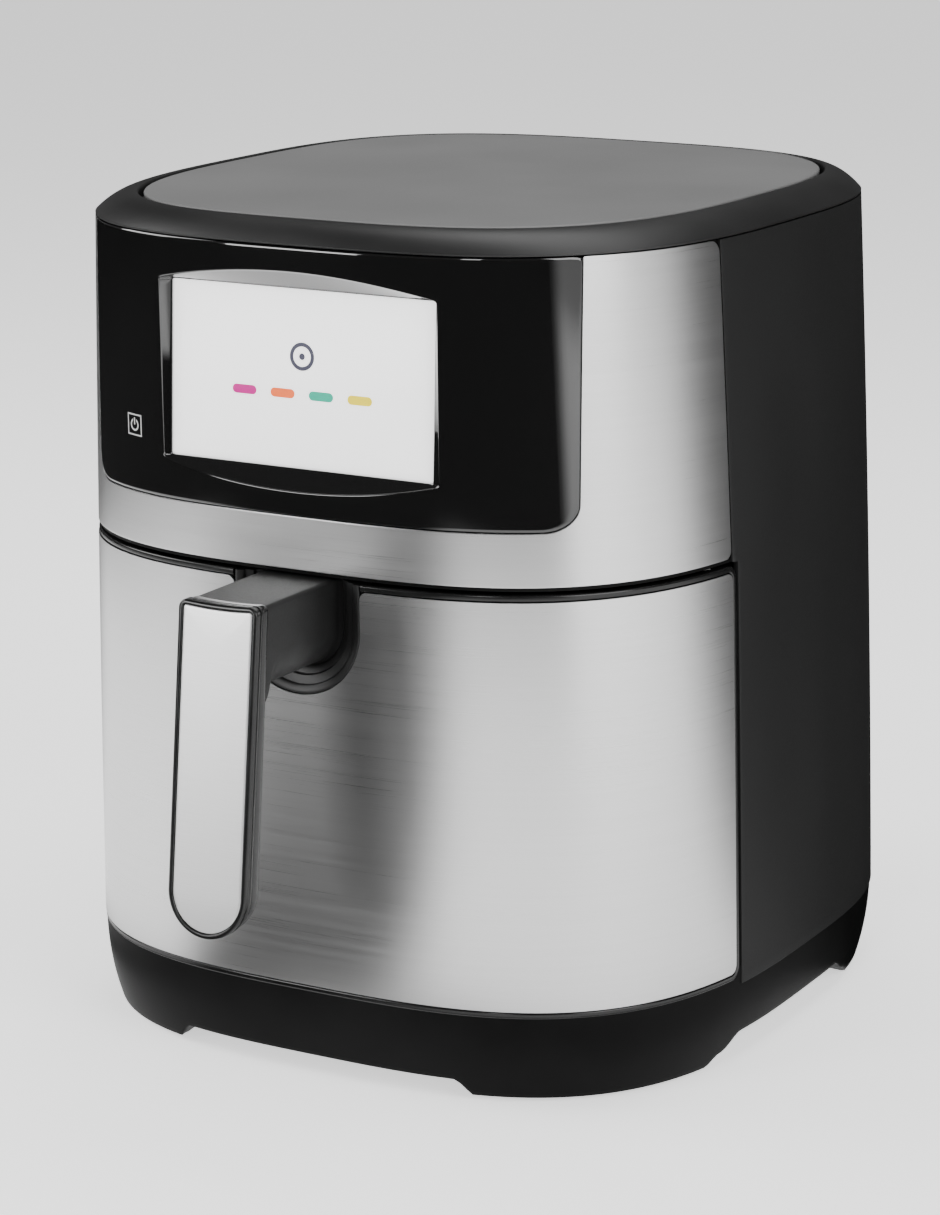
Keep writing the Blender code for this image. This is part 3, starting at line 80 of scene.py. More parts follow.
def reach(z, inset=0.0):
    """Half width, front reach and back reach at height z: each a size plus a quadratic in height."""
    t = (z - LEAN_HEIGHT) / LEAN_SPAN
    sizes = (HALF_WIDTH, FRONT_REACH, BACK_REACH)
    leans = (SIDE_LEAN, FRONT_LEAN, BACK_LEAN)
    return [size + lean[0] * t + lean[1] * t * t - inset for size, lean in zip(sizes, leans)]


def plan(angle, side, front, back):
    """Superellipse: each of cosine and sine is raised to two over the exponent and scaled by its reach."""
    power = 2.0 / PLAN_EXPONENT
    c, s = np.cos(angle), np.sin(angle)
    x = side * np.sign(c) * np.abs(c) ** power
    y = np.where(s < 0.0, front, back) * np.sign(s) * np.abs(s) ** power
    return x, y


def xyz(x, y, z):
    """Points from their three coordinates, which are arrays or single numbers."""
    return np.stack(np.broadcast_arrays(x, y, z), axis=-1)


def on_body(angle, z, inset=0.0):
    """Points of the body at a plan angle and a height, drawn in by inset."""
    return xyz(*plan(angle, *reach(z, inset)), z)


def angle_of_y(y, z, inset=0.0):
    """Plan angle on the right-hand side where the outline reaches y. It is negative in front."""
    _, front, back = reach(z, inset)
    share = np.clip(np.abs(y) / np.where(y < 0.0, front, back), 0.0, 1.0)
    return np.sign(y) * np.arcsin(share ** (PLAN_EXPONENT / 2.0))


def angle_of_x(x, z, inset=0.0):
    """Plan angle on the right-hand front where the outline reaches x."""
    share = np.clip(np.abs(x) / reach(z, inset)[0], 0.0, 1.0)
    return -np.arccos(share ** (PLAN_EXPONENT / 2.0))


def front_y(x, z):
    """The body's front surface as y at x and z, from the superellipse's equation."""
    side, front, _ = reach(z)
    share = np.clip(np.abs(x) / side, 0.0, 1.0)
    return -front * (1.0 - share**PLAN_EXPONENT) ** (1.0 / PLAN_EXPONENT)


def back_y(x, z):
    """The body's back surface as y at x and z, from the superellipse's equation."""
    side, _, back = reach(z)
    share = np.clip(np.abs(x) / side, 0.0, 1.0)
    return back * (1.0 - share**PLAN_EXPONENT) ** (1.0 / PLAN_EXPONENT)


# ---- Places read from the frame ------------------------------------------------------------------------


def low(node, axis=2):
    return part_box(node)[0][axis]


def high(node, axis=2):
    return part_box(node)[1][axis]


SHIFT = high("rear_housing", 1) - reach(low("rear_housing"))[2]
BASE_TOP = high("base_tray")
SKIN_LOW, SKIN_HIGH = low("drawer_skin"), high("drawer_skin")
DRAWER_LOW, DRAWER_HIGH = low("drawer_front"), high("drawer_front")
HEAD_LOW, HEAD_TOP = low("front_fascia"), high("front_fascia")
PANEL_LOW = low("control_panel")
PANEL_HALF = high("control_panel", 0)
RING_LOW, TOP = low("top_ring"), high("top_ring")
LID_LOW = low("top_cover")
DRAWER_SEAM = high("drawer_front", 1) - SHIFT
SKIN_SEAM = high("drawer_skin", 1) - SHIFT
HEAD_SEAM = -66.5 * MM
HEAD_SEAM_LEAN = -4.5 * MM
HOUSING_SEAM = DRAWER_SEAM + 1.0 * MM
GRIP_TOP, GRIP_LOW = high("handle_bezel"), low("handle_bezel")
GRIP_HALF = high("handle_bezel", 0)
GRIP_LEAN = 0.107
GRIP_FACE = -FRONT_REACH - 54.0 * MM
ARM_HALF = 17.0 * MM
ROOT_HALF = 28.0 * MM
ROOT_CENTRE = DRAWER_HIGH - 18.6 * MM
ROOT_SEAT = front_y(0.0, ROOT_CENTRE) + 6.7 * MM
STEEL = 0.8 * MM
SCREEN_HALF, SCREEN_TALL = 58.0 * MM, 34.0 * MM
SCREEN_Z = 0.5 * (low("touch_glass") + high("touch_glass"))
SCREEN_Y = low("touch_glass", 1) - SHIFT
SCREEN_SLOPE = math.tan(math.radians(2.5))


def screen_y(z):
    """The glass's face, a plane that leans back towards the top."""
    return SCREEN_Y + SCREEN_SLOPE * (z - low("touch_glass"))


# ---- Makers --------------------------------------------------------------------------------------------


RIM_ANGLE = math.radians(50.0)


def add_object(name, data):
    """An object of the scene that shows the data."""
    made = bpy.data.objects.new(name, data)
    bpy.context.scene.collection.objects.link(made)
    return made


def grid_faces(rows, columns, wrap_columns=False, wrap_rows=False, kept=None):
    """Quads between neighbouring rows and columns of a grid. kept is a mask of the quads to keep."""
    index = np.arange(rows * columns).reshape(rows, columns)
    if wrap_columns:
        index = np.concatenate([index, index[:, :1]], axis=1)
    if wrap_rows:
        index = np.concatenate([index, index[:1, :]], axis=0)
    quads = np.stack([index[:-1, :-1], index[:-1, 1:], index[1:, 1:], index[1:, :-1]], axis=-1)
    return quads.reshape(-1, 4) if kept is None else quads[kept]


def facing(points, faces, caps, centre):
    """How far the faces look away from a centre: the sum of area times distance, as in a solid's volume."""
    a, b, c, d = (points[faces[:, k]] for k in range(4))
    total = (np.cross(c - a, d - b) * ((a + b + c + d) / 4.0 - centre)).sum()
    for cap in caps:
        ring = points[list(cap)] - points[list(cap)].mean(axis=0)
        area = np.cross(ring, np.roll(ring, -1, axis=0)).sum(axis=0)
        total += area @ (points[list(cap)].mean(axis=0) - centre)
    return float(total)


def make_piece(name, points, faces, maker, body, stands_for, caps=(), smooth=38.0, upward=False):
    """Put points and quads into a mesh in the model's frame, turn it outwards and ride it on a body.

    maker is the function of its finish, and stands_for the node that it is shown instead of.
    caps are loops of point numbers that close the ends, in the direction of the quads they meet. A sheet
    faces away from the upright axis, or up if upward is set.
    """
    points = np.asarray(points, float).reshape(-1, 3)
    faces = np.asarray(faces)
    loops = [tuple(int(i) for i in cap) for cap in caps]
    centre = np.array([0.0, 0.0, points[:, 2].mean() - (10.0 if upward else 0.0)])
    every = faces.tolist() + loops
    if facing(points, faces, loops, centre) < 0.0:
        every = [face[::-1] for face in every]
    mesh = bpy.data.meshes.new(name)
    mesh.from_pydata((points + np.array([0.0, SHIFT, 0.0])).tolist(), [], every)
    mesh.validate()
    mesh.shade_smooth()
    mesh.set_sharp_from_angle(angle=math.radians(smooth))
    made = add_object(name, mesh)
    mesh.materials.append(look(maker))
    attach(made, body)
    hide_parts(stands_for)
    return made


def thicken(made, thickness, edge=0.0, segments=3):
    """Give a sheet its wall behind the surface, and round the edges sharper than RIM_ANGLE."""
    wall = made.modifiers.new("wall", "SOLIDIFY")
    wall.thickness = thickness
    wall.offset = -1.0
    if edge:
        rims = made.modifiers.new("edges", "BEVEL")
        rims.width = edge
        rims.segments = segments
        rims.limit_method = "ANGLE"
        rims.angle_limit = RIM_ANGLE
        rims.harden_normals = False


def stack(loops):
    """Loops of equal length as one block of points with the quads between them."""
    block = np.stack(loops)
    rows, columns = block.shape[:2]
    return block.reshape(-1, 3), grid_faces(rows, columns, wrap_columns=True)


def closed_stack(name, loops, maker, body, stands_for, smooth=38.0):
    """Skin closed loops in order and close the first and the last with flat caps."""
    points, faces = stack(loops)
    count = len(loops[0])
    last = (len(loops) - 1) * count
    caps = (range(count - 1, -1, -1), range(last, last + count))
    return make_piece(name, points, faces, maker, body, stands_for, caps, smooth)


def eased(count):
    """Shares from 0 to 1 that crowd towards both ends, as a cosine does."""
    return 0.5 - 0.5 * np.cos(np.linspace(0.0, math.pi, count))


def arc_drop(distance, radius):
    """How far a round corner has left its edge at a distance from the corner's end."""
    near = np.clip(radius - distance, 0.0, radius)
    return radius - np.sqrt(np.maximum(radius * radius - near * near, 0.0))


def square_loop(half_x, half_y, radius, z, corner=12, side=10, centre=(0.0, 0.0)):
    """Rectangle with round corners: straight runs joined by quarter circles, anticlockwise."""
    turn = np.linspace(0.0, 0.5 * math.pi, corner)
    xs, ys = [], []
    for k in range(4):
        sx, sy = (1, 1, -1, -1)[k], (-1, 1, 1, -1)[k]
        a = turn + (k - 1) * 0.5 * math.pi
        ax = sx * (half_x - radius) + radius * np.cos(a)
        ay = sy * (half_y - radius) + radius * np.sin(a)
        xs.append(ax)
        ys.append(ay)
        nx, ny = (1, -1, -1, 1)[k], (1, 1, -1, -1)[k]
        na = turn[0] + k * 0.5 * math.pi
        bx = nx * (half_x - radius) + radius * math.cos(na)
        by = ny * (half_y - radius) + radius * math.sin(na)
        t = np.linspace(0.0, 1.0, side + 2)[1:-1]
        xs.append(ax[-1] + (bx - ax[-1]) * t)
        ys.append(ay[-1] + (by - ay[-1]) * t)
    x = np.concatenate(xs) + centre[0]
    y = np.concatenate(ys) + centre[1]
    return xyz(x, y, z)


def tongue(half, top, bottom, corner):
    """Outline as x and z: a half circle below, straight sides, and a flat top with small round corners."""
    below = np.linspace(math.pi, 2.0 * math.pi, 49)
    quarter = np.linspace(0.0, 0.5 * math.pi, 9)
    rise = np.linspace(0.0, 1.0, 26)[1:-1]
    across = np.linspace(0.0, 1.0, 14)[1:-1]
    centre = bottom + half
    side_top = top - corner
    flat = half - corner
    x = [half * np.cos(below), np.full(24, half), flat + corner * np.cos(quarter)]
    z = [centre + half * np.sin(below), centre + (side_top - centre) * rise]
    z.append(side_top + corner * np.sin(quarter))
    x += [flat - 2.0 * flat * across, -flat - corner * np.sin(quarter), np.full(24, -half)]
    z += [np.full(12, top), side_top + corner * np.cos(quarter)]
    z.append(side_top + (centre - side_top) * rise)
    return np.concatenate(x), np.concatenate(z)


def turned(profile, centre, steps=48):
    """Turn a profile of (radius, height) points about an upright axis at the centre."""
    a = np.linspace(0.0, 2.0 * math.pi, steps, endpoint=False)
    return [
        xyz(centre[0] + r * np.cos(a), centre[1] + r * np.sin(a), h)
        for r, h in profile
    ]


def front_sheet(z_low, z_high, seam, inset, corners, notch, rows=(40, 14)):
    """A sheet on the body's front, from seam to seam, with a notch that is open at the top.

    Columns run from the middle to the right seam and are mirrored. The first follow x, the last follow
    their distance from the seam, and those round the corner blend the two plan angles. Each column spans
    from its lower edge to its upper edge, which both draw in along a circle near the seam. notch is its
    half width, its floor as a function of x, and the radius of its two upper corners.
    """
    half, floor, lip = notch
    in_notch = half * np.sin(np.linspace(0.0, 0.5 * math.pi, 34))
    by_lip = half + lip * (1.0 - np.cos(np.linspace(0.0, 0.5 * math.pi, 8)))[1:]
    wide = 112.0 * MM
    plain = np.linspace(by_lip[-1], max(wide, by_lip[-1] + 6.0 * MM), 30)[1:]
    xs = np.concatenate([in_notch, by_lip, plain])
    deep, small = 42.0 * MM, max(corners)
    ends = small * (1.0 - np.sin(np.linspace(0.0, 0.5 * math.pi, 10)))
    from_seam = np.concatenate([np.linspace(deep, small, 22), ends[1:]])
    bend = np.linspace(0.0, 1.0, 22)[1:-1]
    blend = np.concatenate([np.zeros(len(xs)), bend, np.ones(len(from_seam))])
    xc = np.concatenate([xs, np.full(len(bend) + len(from_seam), xs[-1])])
    dc = np.concatenate([np.full(len(xs) + len(bend), deep), from_seam])
    bottom = z_low + arc_drop(dc, corners[0])
    top = z_high - arc_drop(dc, corners[1])
    top -= np.where((xc >= half) & (xc <= half + lip), arc_drop(xc - half, lip), 0.0)
    split = np.where(xc < half, floor(np.minimum(xc, half)), floor(half))
    below, above = eased(rows[0])[:, None], eased(rows[1])[1:, None]
    z = np.concatenate([bottom + (split - bottom) * below, split + (top - split) * above])
    by_x = angle_of_x(xc, z, inset)
    by_y = angle_of_y(seam(z) - dc, z, inset)
    angle = by_x + (by_y - by_x) * blend
    right = on_body(angle, z, inset)
    left = right[:, :0:-1] * np.array([-1.0, 1.0, 1.0])
    points = np.concatenate([left, right], axis=1)
    total, wide_count = points.shape[:2]
    kept = np.ones((total - 1, wide_count - 1), bool)
    middle, hollow = len(xc) - 1, len(in_notch) - 1
    kept[rows[0] - 1 :, middle - hollow : middle + hollow] = False
    return points.reshape(-1, 3), grid_faces(total, wide_count, kept=kept)


def drop_loose(points, faces):
    """Leave out the points that no face uses."""
    used, renumbered = np.unique(faces, return_inverse=True)
    return points[used], renumbered.reshape(faces.shape)


def sweep(path, out, section):
    """Carry a closed section along a path. The section's first number runs along out, the second across."""
    ahead = np.gradient(path, axis=0)
    ahead /= np.linalg.norm(ahead, axis=1, keepdims=True)
    out = out - ahead * (out * ahead).sum(axis=1, keepdims=True)
    out /= np.linalg.norm(out, axis=1, keepdims=True)
    across = np.cross(ahead, out)
    return path[:, None] + out[:, None] * section[None, :, :1] + across[:, None] * section[None, :, 1:]


def round_section(out_half, across_half, radius, steps=4):
    """A rectangle with round corners as pairs of numbers, anticlockwise."""
    loop = square_loop(out_half, across_half, radius, 0.0, steps + 1, 2)
    return loop[:, :2]


# ---- Shader maths --------------------------------------------------------------------------------------


class Wire:
    """A number that a node gives out. Each operator adds one Math node."""

    def __init__(self, tree, socket):
        self.tree, self.socket = tree, socket

    def math(self, operation, *values):
        return self.tree.add("ShaderNodeMath", {"operation": operation}, dict(enumerate(values)))

    def __add__(self, other):
        return self.math("ADD", self, other)

    def __sub__(self, other):
        return self.math("SUBTRACT", self, other)

    def __rsub__(self, other):
        return self.math("SUBTRACT", other, self)

    def __mul__(self, other):
        return self.math("MULTIPLY", self, other)

    def __truediv__(self, other):
        return self.math("DIVIDE", self, other)

    __radd__ = __add__
    __rmul__ = __mul__

    def __abs__(self):
        return self.math("ABSOLUTE", self)

    def highest(self, other):
        return self.math("MAXIMUM", self, other)

    def root(self):
        return self.math("SQRT", self)

    def step(self, start, end, first=0.0, last=1.0):
        """Rises smoothly from first to last as the number goes from start to end."""
        settings = {"interpolation_type": "SMOOTHSTEP"}
        ends = {"Value": self, "From Min": start, "From Max": end, "To Min": first, "To Max": last}
        return self.tree.add("ShaderNodeMapRange", settings, ends)


class Finish:
    """A material and its Principled shader, with one method that adds any other node."""

    def __init__(self, name, colour, roughness, metallic=0.0, **constants):
        self.material = bpy.data.materials.new(name)
        self.material.use_nodes = True
        self.nodes = self.material.node_tree.nodes
        self.links = self.material.node_tree.links
        self.shader = self.nodes["Principled BSDF"]
        self.material.diffuse_color = (*colour, 1.0)
        sockets = {"Base Color": (*colour, 1.0), "Roughness": roughness, "Metallic": metallic}
        for socket, value in {**sockets, **constants}.items():
            self.shader.inputs[socket].default_value = value

    def add(self, kind, settings=None, values=None, output=0):
        """Add a node, apply its settings, then set or link its sockets. Gives one of its outputs."""
        node = self.nodes.new(kind)
        for name, value in (settings or {}).items():
            if name == "stops":
                self.set_stops(node.color_ramp, value)
            else:
                setattr(node, name, value)
        for name, value in (values or {}).items():
            if isinstance(value, Wire):
                self.links.new(value.socket, node.inputs[name])
            else:
                node.inputs[name].default_value = value
        return Wire(self, node.outputs[output])

    @staticmethod
    def set_stops(ramp, stops):
        while len(ramp.elements) < len(stops):
            ramp.elements.new(1.0)
        for element, (place, colour) in zip(ramp.elements, stops):
            element.position = place
            element.color = (*colour, 1.0)

    def place(self):
        return self.add("ShaderNodeTexCoord", output="Object")

    def axes(self):
        """The three Object coordinates as numbers, in metres."""
        split = self.add("ShaderNodeSeparateXYZ", None, {0: self.place()}).socket.node
        return [Wire(self, split.outputs[k]) for k in range(3)]

    def noise(self, scale, stretch=(1.0, 1.0, 1.0), detail=3.0, roughness=0.5):
        """Noise from 0 to 1 with features of about one over the scale, stretched along an axis."""
        mapped = self.add("ShaderNodeMapping", None, {"Vector": self.place(), "Scale": stretch})
        values = {"Vector": mapped, "Scale": scale, "Detail": detail, "Roughness": roughness}
        return self.add("ShaderNodeTexNoise", None, values)

    def blend(self, share, first, second):
        """A colour between two, by share."""
        values = {"Factor": share}
        for key, colour in ((6, first), (7, second)):
            values[key] = colour if isinstance(colour, Wire) else (*colour, 1.0)
        return self.add("ShaderNodeMix", {"data_type": "RGBA"}, values, 2)

    def set(self, socket, value):
        self.links.new(value.socket, self.shader.inputs[socket])

    def bump(self, height, distance, strength=1.0):
        """Raise the surface by a height from 0 to 1, in metres of distance."""
        values = {"Height": height, "Distance": distance, "Strength": strength}
        self.set("Normal", self.add("ShaderNodeBump", None, values))


# ---- Finishes ------------------------------------------------------------------------------------------


EVEN = (1.0, 1.0, 1.0)


def grey(value):
    return (value, value, value)


def scaled(tone, share):
    """A tone made darker or lighter by a share."""
    return tuple(share * part for part in tone)


def moulded(name, tones, cloud, grain, rough, relief, metallic=0.0, **constants):
    """Two tones blended by soft clouds, over an even grain.

    tones are the two colours and the cloud's values between which they blend. cloud and grain are noise
    settings. rough is the least roughness, then what the cloud and the grain add. relief is the grain's
    height in millimetres and the bump's strength.
    """
    first, second, span = tones
    least, by_cloud, by_grain = rough
    middle = tuple(0.5 * (a + b) for a, b in zip(first, second))
    made = Finish(name, middle, least + 0.5 * (by_cloud + by_grain), metallic, **constants)
    clouds, grains = made.noise(*cloud), made.noise(*grain)
    made.set("Base Color", made.blend(clouds.step(*span), first, second))
    uneven = clouds * by_cloud + grains * by_grain if by_grain else clouds * by_cloud
    made.set("Roughness", uneven + least)
    made.bump(grains, relief[0] * MM, relief[1])
    return made.material


def brushed_steel():
    """Steel brushed sideways: long thin lines in height, tone and roughness, and faint broad smears."""
    tone = bpy.context.scene.air_fryer_looks.steel
    made = Finish("brushed_steel", tone, 0.3, 1.0)
    fine = made.noise(60.0, (0.25, 0.25, 90.0), 4.0, 0.7)
    coarse = made.noise(9.0, (0.5, 0.5, 60.0), 3.0, 0.6)
    smear = made.noise(6.0, (1.0, 1.0, 1.6), 2.0)
    lines = fine * 0.65 + coarse * 0.35
    made.set("Base Color", made.blend(lines.step(0.25, 0.75), scaled(tone, 0.92), tone))
    made.set("Roughness", lines * 0.16 + smear * 0.06 + 0.185)
    made.bump(lines, 0.008 * MM, 0.5)
    return made.material


def inlay_steel():
    """The handle's finer brushed steel, with the same sideways lines."""
    made = Finish("inlay_steel", grey(0.8), 0.42, 1.0)
    lines = made.noise(90.0, (0.3, 0.3, 60.0), 4.0, 0.7)
    made.set("Base Color", made.blend(lines.step(0.2, 0.8), grey(0.72), grey(0.82)))
    made.set("Roughness", lines * 0.12 + 0.36)
    made.bump(lines, 0.01 * MM, 0.5)
    return made.material


def black_plastic():
    """Satin black moulding with slow changes of sheen and a fine grain."""
    sheen, grain = (22.0,), (2600.0, EVEN, 2.0)
    tones = grey(0.002), grey(0.004), (0.3, 0.75)
    settings = {"Specular IOR Level": 0.3, "IOR": 1.2}
    return moulded("black_plastic", tones, sheen, grain, (0.38, 0.14, 0.08), (0.03, 0.35), **settings)


def ring_plastic():
    """The top ring's satin moulding: smoother than the casing, with soft sheen patches."""
    sheen, grain = (16.0, (1.0, 1.0, 3.0)), (1800.0, EVEN, 2.0)
    tones = grey(0.006), grey(0.010), (0.3, 0.7)
    settings = {"Specular IOR Level": 0.4}
    return moulded("ring_plastic", tones, sheen, grain, (0.32, 0.16, 0.06), (0.02, 0.3), **settings)


def housing_plastic():
    """Matte charcoal casing with an even spark-eroded texture and a faint flow pattern."""
    flow, grain = (7.0, (1.0, 1.0, 0.6)), (1500.0, EVEN, 3.0, 0.65)
    tones = grey(0.0075), grey(0.0105), (0.3, 0.75)
    settings = {"Specular IOR Level": 0.22}
    return moulded("housing_plastic", tones, flow, grain, (0.42, 0.08, 0.16), (0.05, 0.5), **settings)


def lid_plastic():
    """The lid's dark grey with a fine leather-like grain that scatters light evenly."""
    tone = bpy.context.scene.air_fryer_looks.lid
    cloud, grain = (9.0,), (1900.0, EVEN, 3.0, 0.6)
    tones = scaled(tone, 0.9), scaled(tone, 1.1), (0.25, 0.8)
    return moulded("lid_plastic", tones, cloud, grain, (0.45, 0.06, 0.2), (0.04, 0.5))


def gloss_panel():
    """High-gloss black with a faint orange peel and a touch key: a square outline with an on-off mark."""
    made = Finish("gloss_panel", grey(0.004), 0.05, **{"Coat Weight": 0.6, "Coat Roughness": 0.03})
    peel = made.noise(240.0, detail=1.0)
    haze = made.noise(14.0, detail=2.0)
    x, _, z = made.axes()
    across, up = x - KEY_X, z - KEY_Z
    radius = (across * across + up * up).root()
    fine = 0.12 * MM

    def line(distance, half=0.28 * MM):
        """One on a line of that half width, with a soft edge."""
        return abs(distance).step(half, half + fine, 1.0, 0.0)

    edge = abs(across).highest(abs(up))
    square = line(edge - 4.0 * MM, 0.22 * MM)
    gap = (abs(across).step(0.9 * MM, 1.1 * MM)).highest(up.step(0.0, 0.2 * MM, 1.0, 0.0))
    ring = line(radius - 2.1 * MM) * gap
    bar = line(across) * (up.step(0.0, fine) * up.step(2.8 * MM, 2.9 * MM, 1.0, 0.0))
    mark = square.highest(ring).highest(bar)
    made.set("Base Color", made.blend(mark, grey(0.004), grey(0.32)))
    made.set("Emission Color", made.blend(mark, grey(0.0), grey(0.22)))
    made.shader.inputs["Emission Strength"].default_value = 1.0
    made.set("Roughness", haze * 0.03 + 0.035)
    made.bump(peel, 0.004 * MM, 0.25)
    return made.material


def screen_glass():
    """A lit display under clear glass: off-white, with painted shade at its edges, a ring dial and a row of
    coloured dots.
    """
    made = Finish("screen_glass", grey(0.75), 0.12, **{"Specular IOR Level": 0.12, "Coat Weight": 0.1})
    x, _, z = made.axes()
    up = z - SCREEN_Z
    fine = 0.15 * MM

    def dot(centre_x, centre_z, radius, half=0.0):
        """One inside a pill of that radius, whose straight part has that half length."""
        across = (abs(x - centre_x) - half).highest(0.0)
        apart = up - centre_z
        distance = (across * across + apart * apart).root()
        return distance.step(radius, radius + fine, 1.0, 0.0)

    glow = made.noise(30.0, detail=1.0)
    # Painted shade: the display darkens from 0.80 to 0.70 towards its window's edges, in its colour and in
    # its glow.
    shade = abs(x / SCREEN_HALF).highest(abs(up / SCREEN_TALL)).step(0.9, 1.02)
    base = made.blend(shade, grey(0.80), grey(0.70))
    base = made.blend(glow.step(0.3, 0.7) * 0.25, base, grey(0.83))
    for k, colour in enumerate(DOT_COLOURS):
        place = (k - 0.5 * (len(DOT_COLOURS) - 1)) * DOT_PITCH
        base = made.blend(dot(place, -6.0 * MM, 1.7 * MM, 3.6 * MM), base, colour)
    dial = (x * x + (up - DIAL_RISE) * (up - DIAL_RISE)).root()
    ring = abs(dial - 4.6 * MM).step(0.7 * MM, 0.7 * MM + fine, 1.0, 0.0)
    base = made.blend(ring, base, DIAL_COLOUR)
    base = made.blend(dot(0.0, DIAL_RISE, 1.2 * MM), base, DIAL_COLOUR)
    made.set("Base Color", base)
    made.set("Emission Color", base)
    made.shader.inputs["Emission Strength"].default_value = 1.1
    made.set("Roughness", glow * 0.04 + 0.1)
    return made.material


def plated_sheet():
    """Zinc-plated sheet: a dull metal with cloudy patches, rolling lines and small scuffs."""
    made = Finish("plated_sheet", grey(0.5), 0.38, 1.0)
    cloud = made.noise(28.0, detail=4.0, roughness=0.6)
    rolled = made.noise(40.0, (1.0, 30.0, 1.0), 3.0)
    scuff = made.noise(160.0, (1.0, 1.0, 0.2), 4.0, 0.7)
    made.set("Base Color", made.blend(cloud.step(0.3, 0.7), grey(0.40), grey(0.56)))
    made.set("Roughness", cloud * 0.18 + scuff.step(0.55, 0.75) * 0.12 + 0.26)
    made.bump(rolled, 0.02 * MM, 0.4)
    return made.material


def pan_coating():
    """Dark non-stick coating with fine light flecks and an even pebble."""
    made = Finish("pan_coating", grey(0.028), 0.42)
    fleck = made.noise(900.0, detail=2.0, roughness=0.7).step(0.66, 0.74)
    cloud = made.noise(25.0, detail=3.0)
    pebble = made.noise(1300.0, detail=2.0)
    tone = made.blend(cloud.step(0.3, 0.7), grey(0.022), grey(0.034))
    made.set("Base Color", made.blend(fleck * 0.55, tone, grey(0.16)))
    made.set("Roughness", pebble * 0.14 + cloud * 0.1 + 0.3)
    made.bump(pebble, 0.03 * MM, 0.5)
    return made.material


def heater_sheath():
    """Oxidised tube: brown-grey metal with darker, rougher bands where it has run hot."""
    heat, grain = (32.0, EVEN, 4.0, 0.65), (1200.0, EVEN, 2.0)
    tones = (0.12, 0.09, 0.075), (0.27, 0.25, 0.24), (0.3, 0.7)
    return moulded("heater_sheath", tones, heat, grain, (0.36, 0.2, 0.0), (0.02, 0.6), 1.0)


def circuit_board():
    """Green solder mask over lighter copper runs on a 2 mm grid, with plated round pads."""
    made = Finish("circuit_board", (0.02, 0.12, 0.06), 0.42)
    mapped = made.add("ShaderNodeMapping", None, {"Vector": made.place(), "Scale": (1.0, 0.3, 1.0)})
    cells = {"Vector": mapped, "Scale": 330.0}
    run = made.add("ShaderNodeTexVoronoi", {"feature": "DISTANCE_TO_EDGE"}, cells)
    pad = made.add("ShaderNodeTexVoronoi", None, {"Vector": made.place(), "Scale": 190.0})
    tone = made.blend(run.step(0.02, 0.1), (0.05, 0.25, 0.1), (0.012, 0.09, 0.045))
    pads = pad.step(0.12, 0.16, 1.0, 0.0)
    made.set("Base Color", made.blend(pads, tone, (0.6, 0.55, 0.42)))
    made.set("Metallic", pads * 0.9)
    made.set("Roughness", 0.45 - pads * 0.15)
    made.bump(run.step(0.02, 0.1, 1.0, 0.0), 0.03 * MM, 0.5)
    return made.material


def silicone():
    """Soft matte rubber with a fine grain and a bloom of lighter dust."""
    bloom, grain = (60.0, EVEN, 4.0), (1500.0, EVEN, 2.0)
    tones = grey(0.014), grey(0.032), (0.35, 0.8)
    return moulded("silicone", tones, bloom, grain, (0.66, 0.14, 0.0), (0.05, 0.6))


def white_plastic():
    """Plain moulded white with a slight warmth and a fine grain."""
    cloud, grain = (40.0,), (1500.0, EVEN, 2.0)
    tones = (0.74, 0.73, 0.70), (0.82, 0.82, 0.80), (0.3, 0.7)
    return moulded("white_plastic", tones, cloud, grain, (0.36, 0.12, 0.0), (0.03, 0.4))


def gloss_black():
    """The handle's polished black, with a faint orange peel and handling haze."""
    haze, peel = (45.0,), (700.0, EVEN, 1.0)
    tones = grey(0.005), grey(0.009), (0.3, 0.8)
    settings = {"Specular IOR Level": 0.35}
    return moulded("gloss_black", tones, haze, peel, (0.12, 0.14, 0.0), (0.004, 0.3), **settings)


def arm_plastic():
    """The handle arm's matte grey-black with a visible grain."""
    cloud, grain = (30.0, EVEN, 2.0), (1400.0, EVEN, 3.0, 0.6)
    tones = grey(0.005), grey(0.008), (0.3, 0.7)
    settings = {"Specular IOR Level": 0.25}
    return moulded("arm_plastic", tones, cloud, grain, (0.38, 0.06, 0.16), (0.05, 0.5), **settings)


# Every finish made so far, by the name of the function that makes it.
FINISHES = {}


def look(maker):
    """The material that a finish's function makes, made once."""
    if maker.__name__ not in FINISHES:
        FINISHES[maker.__name__] = maker()
    return FINISHES[maker.__name__]


KEY_X, KEY_Z = -77.7 * MM, SCREEN_Z - 25.1 * MM
DIAL_RISE = 8.5 * MM
DIAL_COLOUR = (0.003, 0.003, 0.02)
DOT_PITCH = 17.0 * MM
DOT_COLOURS = (
    (0.32, 0.004, 0.14),
    (0.55, 0.09, 0.02),
    (0.006, 0.24, 0.16),
    (0.52, 0.42, 0.015),
)


# ---- Sizes and colours that a user may change ----------------------------------------------------------


def length(name, size, description):
    """A length that a user may change, given in millimetres."""
    return FloatProperty(name=name, description=description, default=size * MM, unit="LENGTH")


def colour(name, tone, description):
    """A colour that a user may change."""
    return FloatVectorProperty(name=name, description=description, default=tone, size=3, subtype="COLOR")


class AirFryerSizes(PropertyGroup):
    """Edge and line sizes of the visible pieces."""

    steel_edge: length("Steel edge", 0.25, "Radius of the steel skins' rims")
    lip_width: length("Drawer lip", 2.6, "Width of the black lip round the steel")
    lid_groove: length("Lid groove", 2.0, "Gap between the top ring and the lid")
    lid_edge: length("Lid edge", 1.0, "Radius of the lid's upper edge")
    bezel_width: length("Handle bezel", 2.1, "Width of the black frame round the inlay")
    panel_corner: length("Panel corner", 10.0, "Radius of the panel's lower corners")


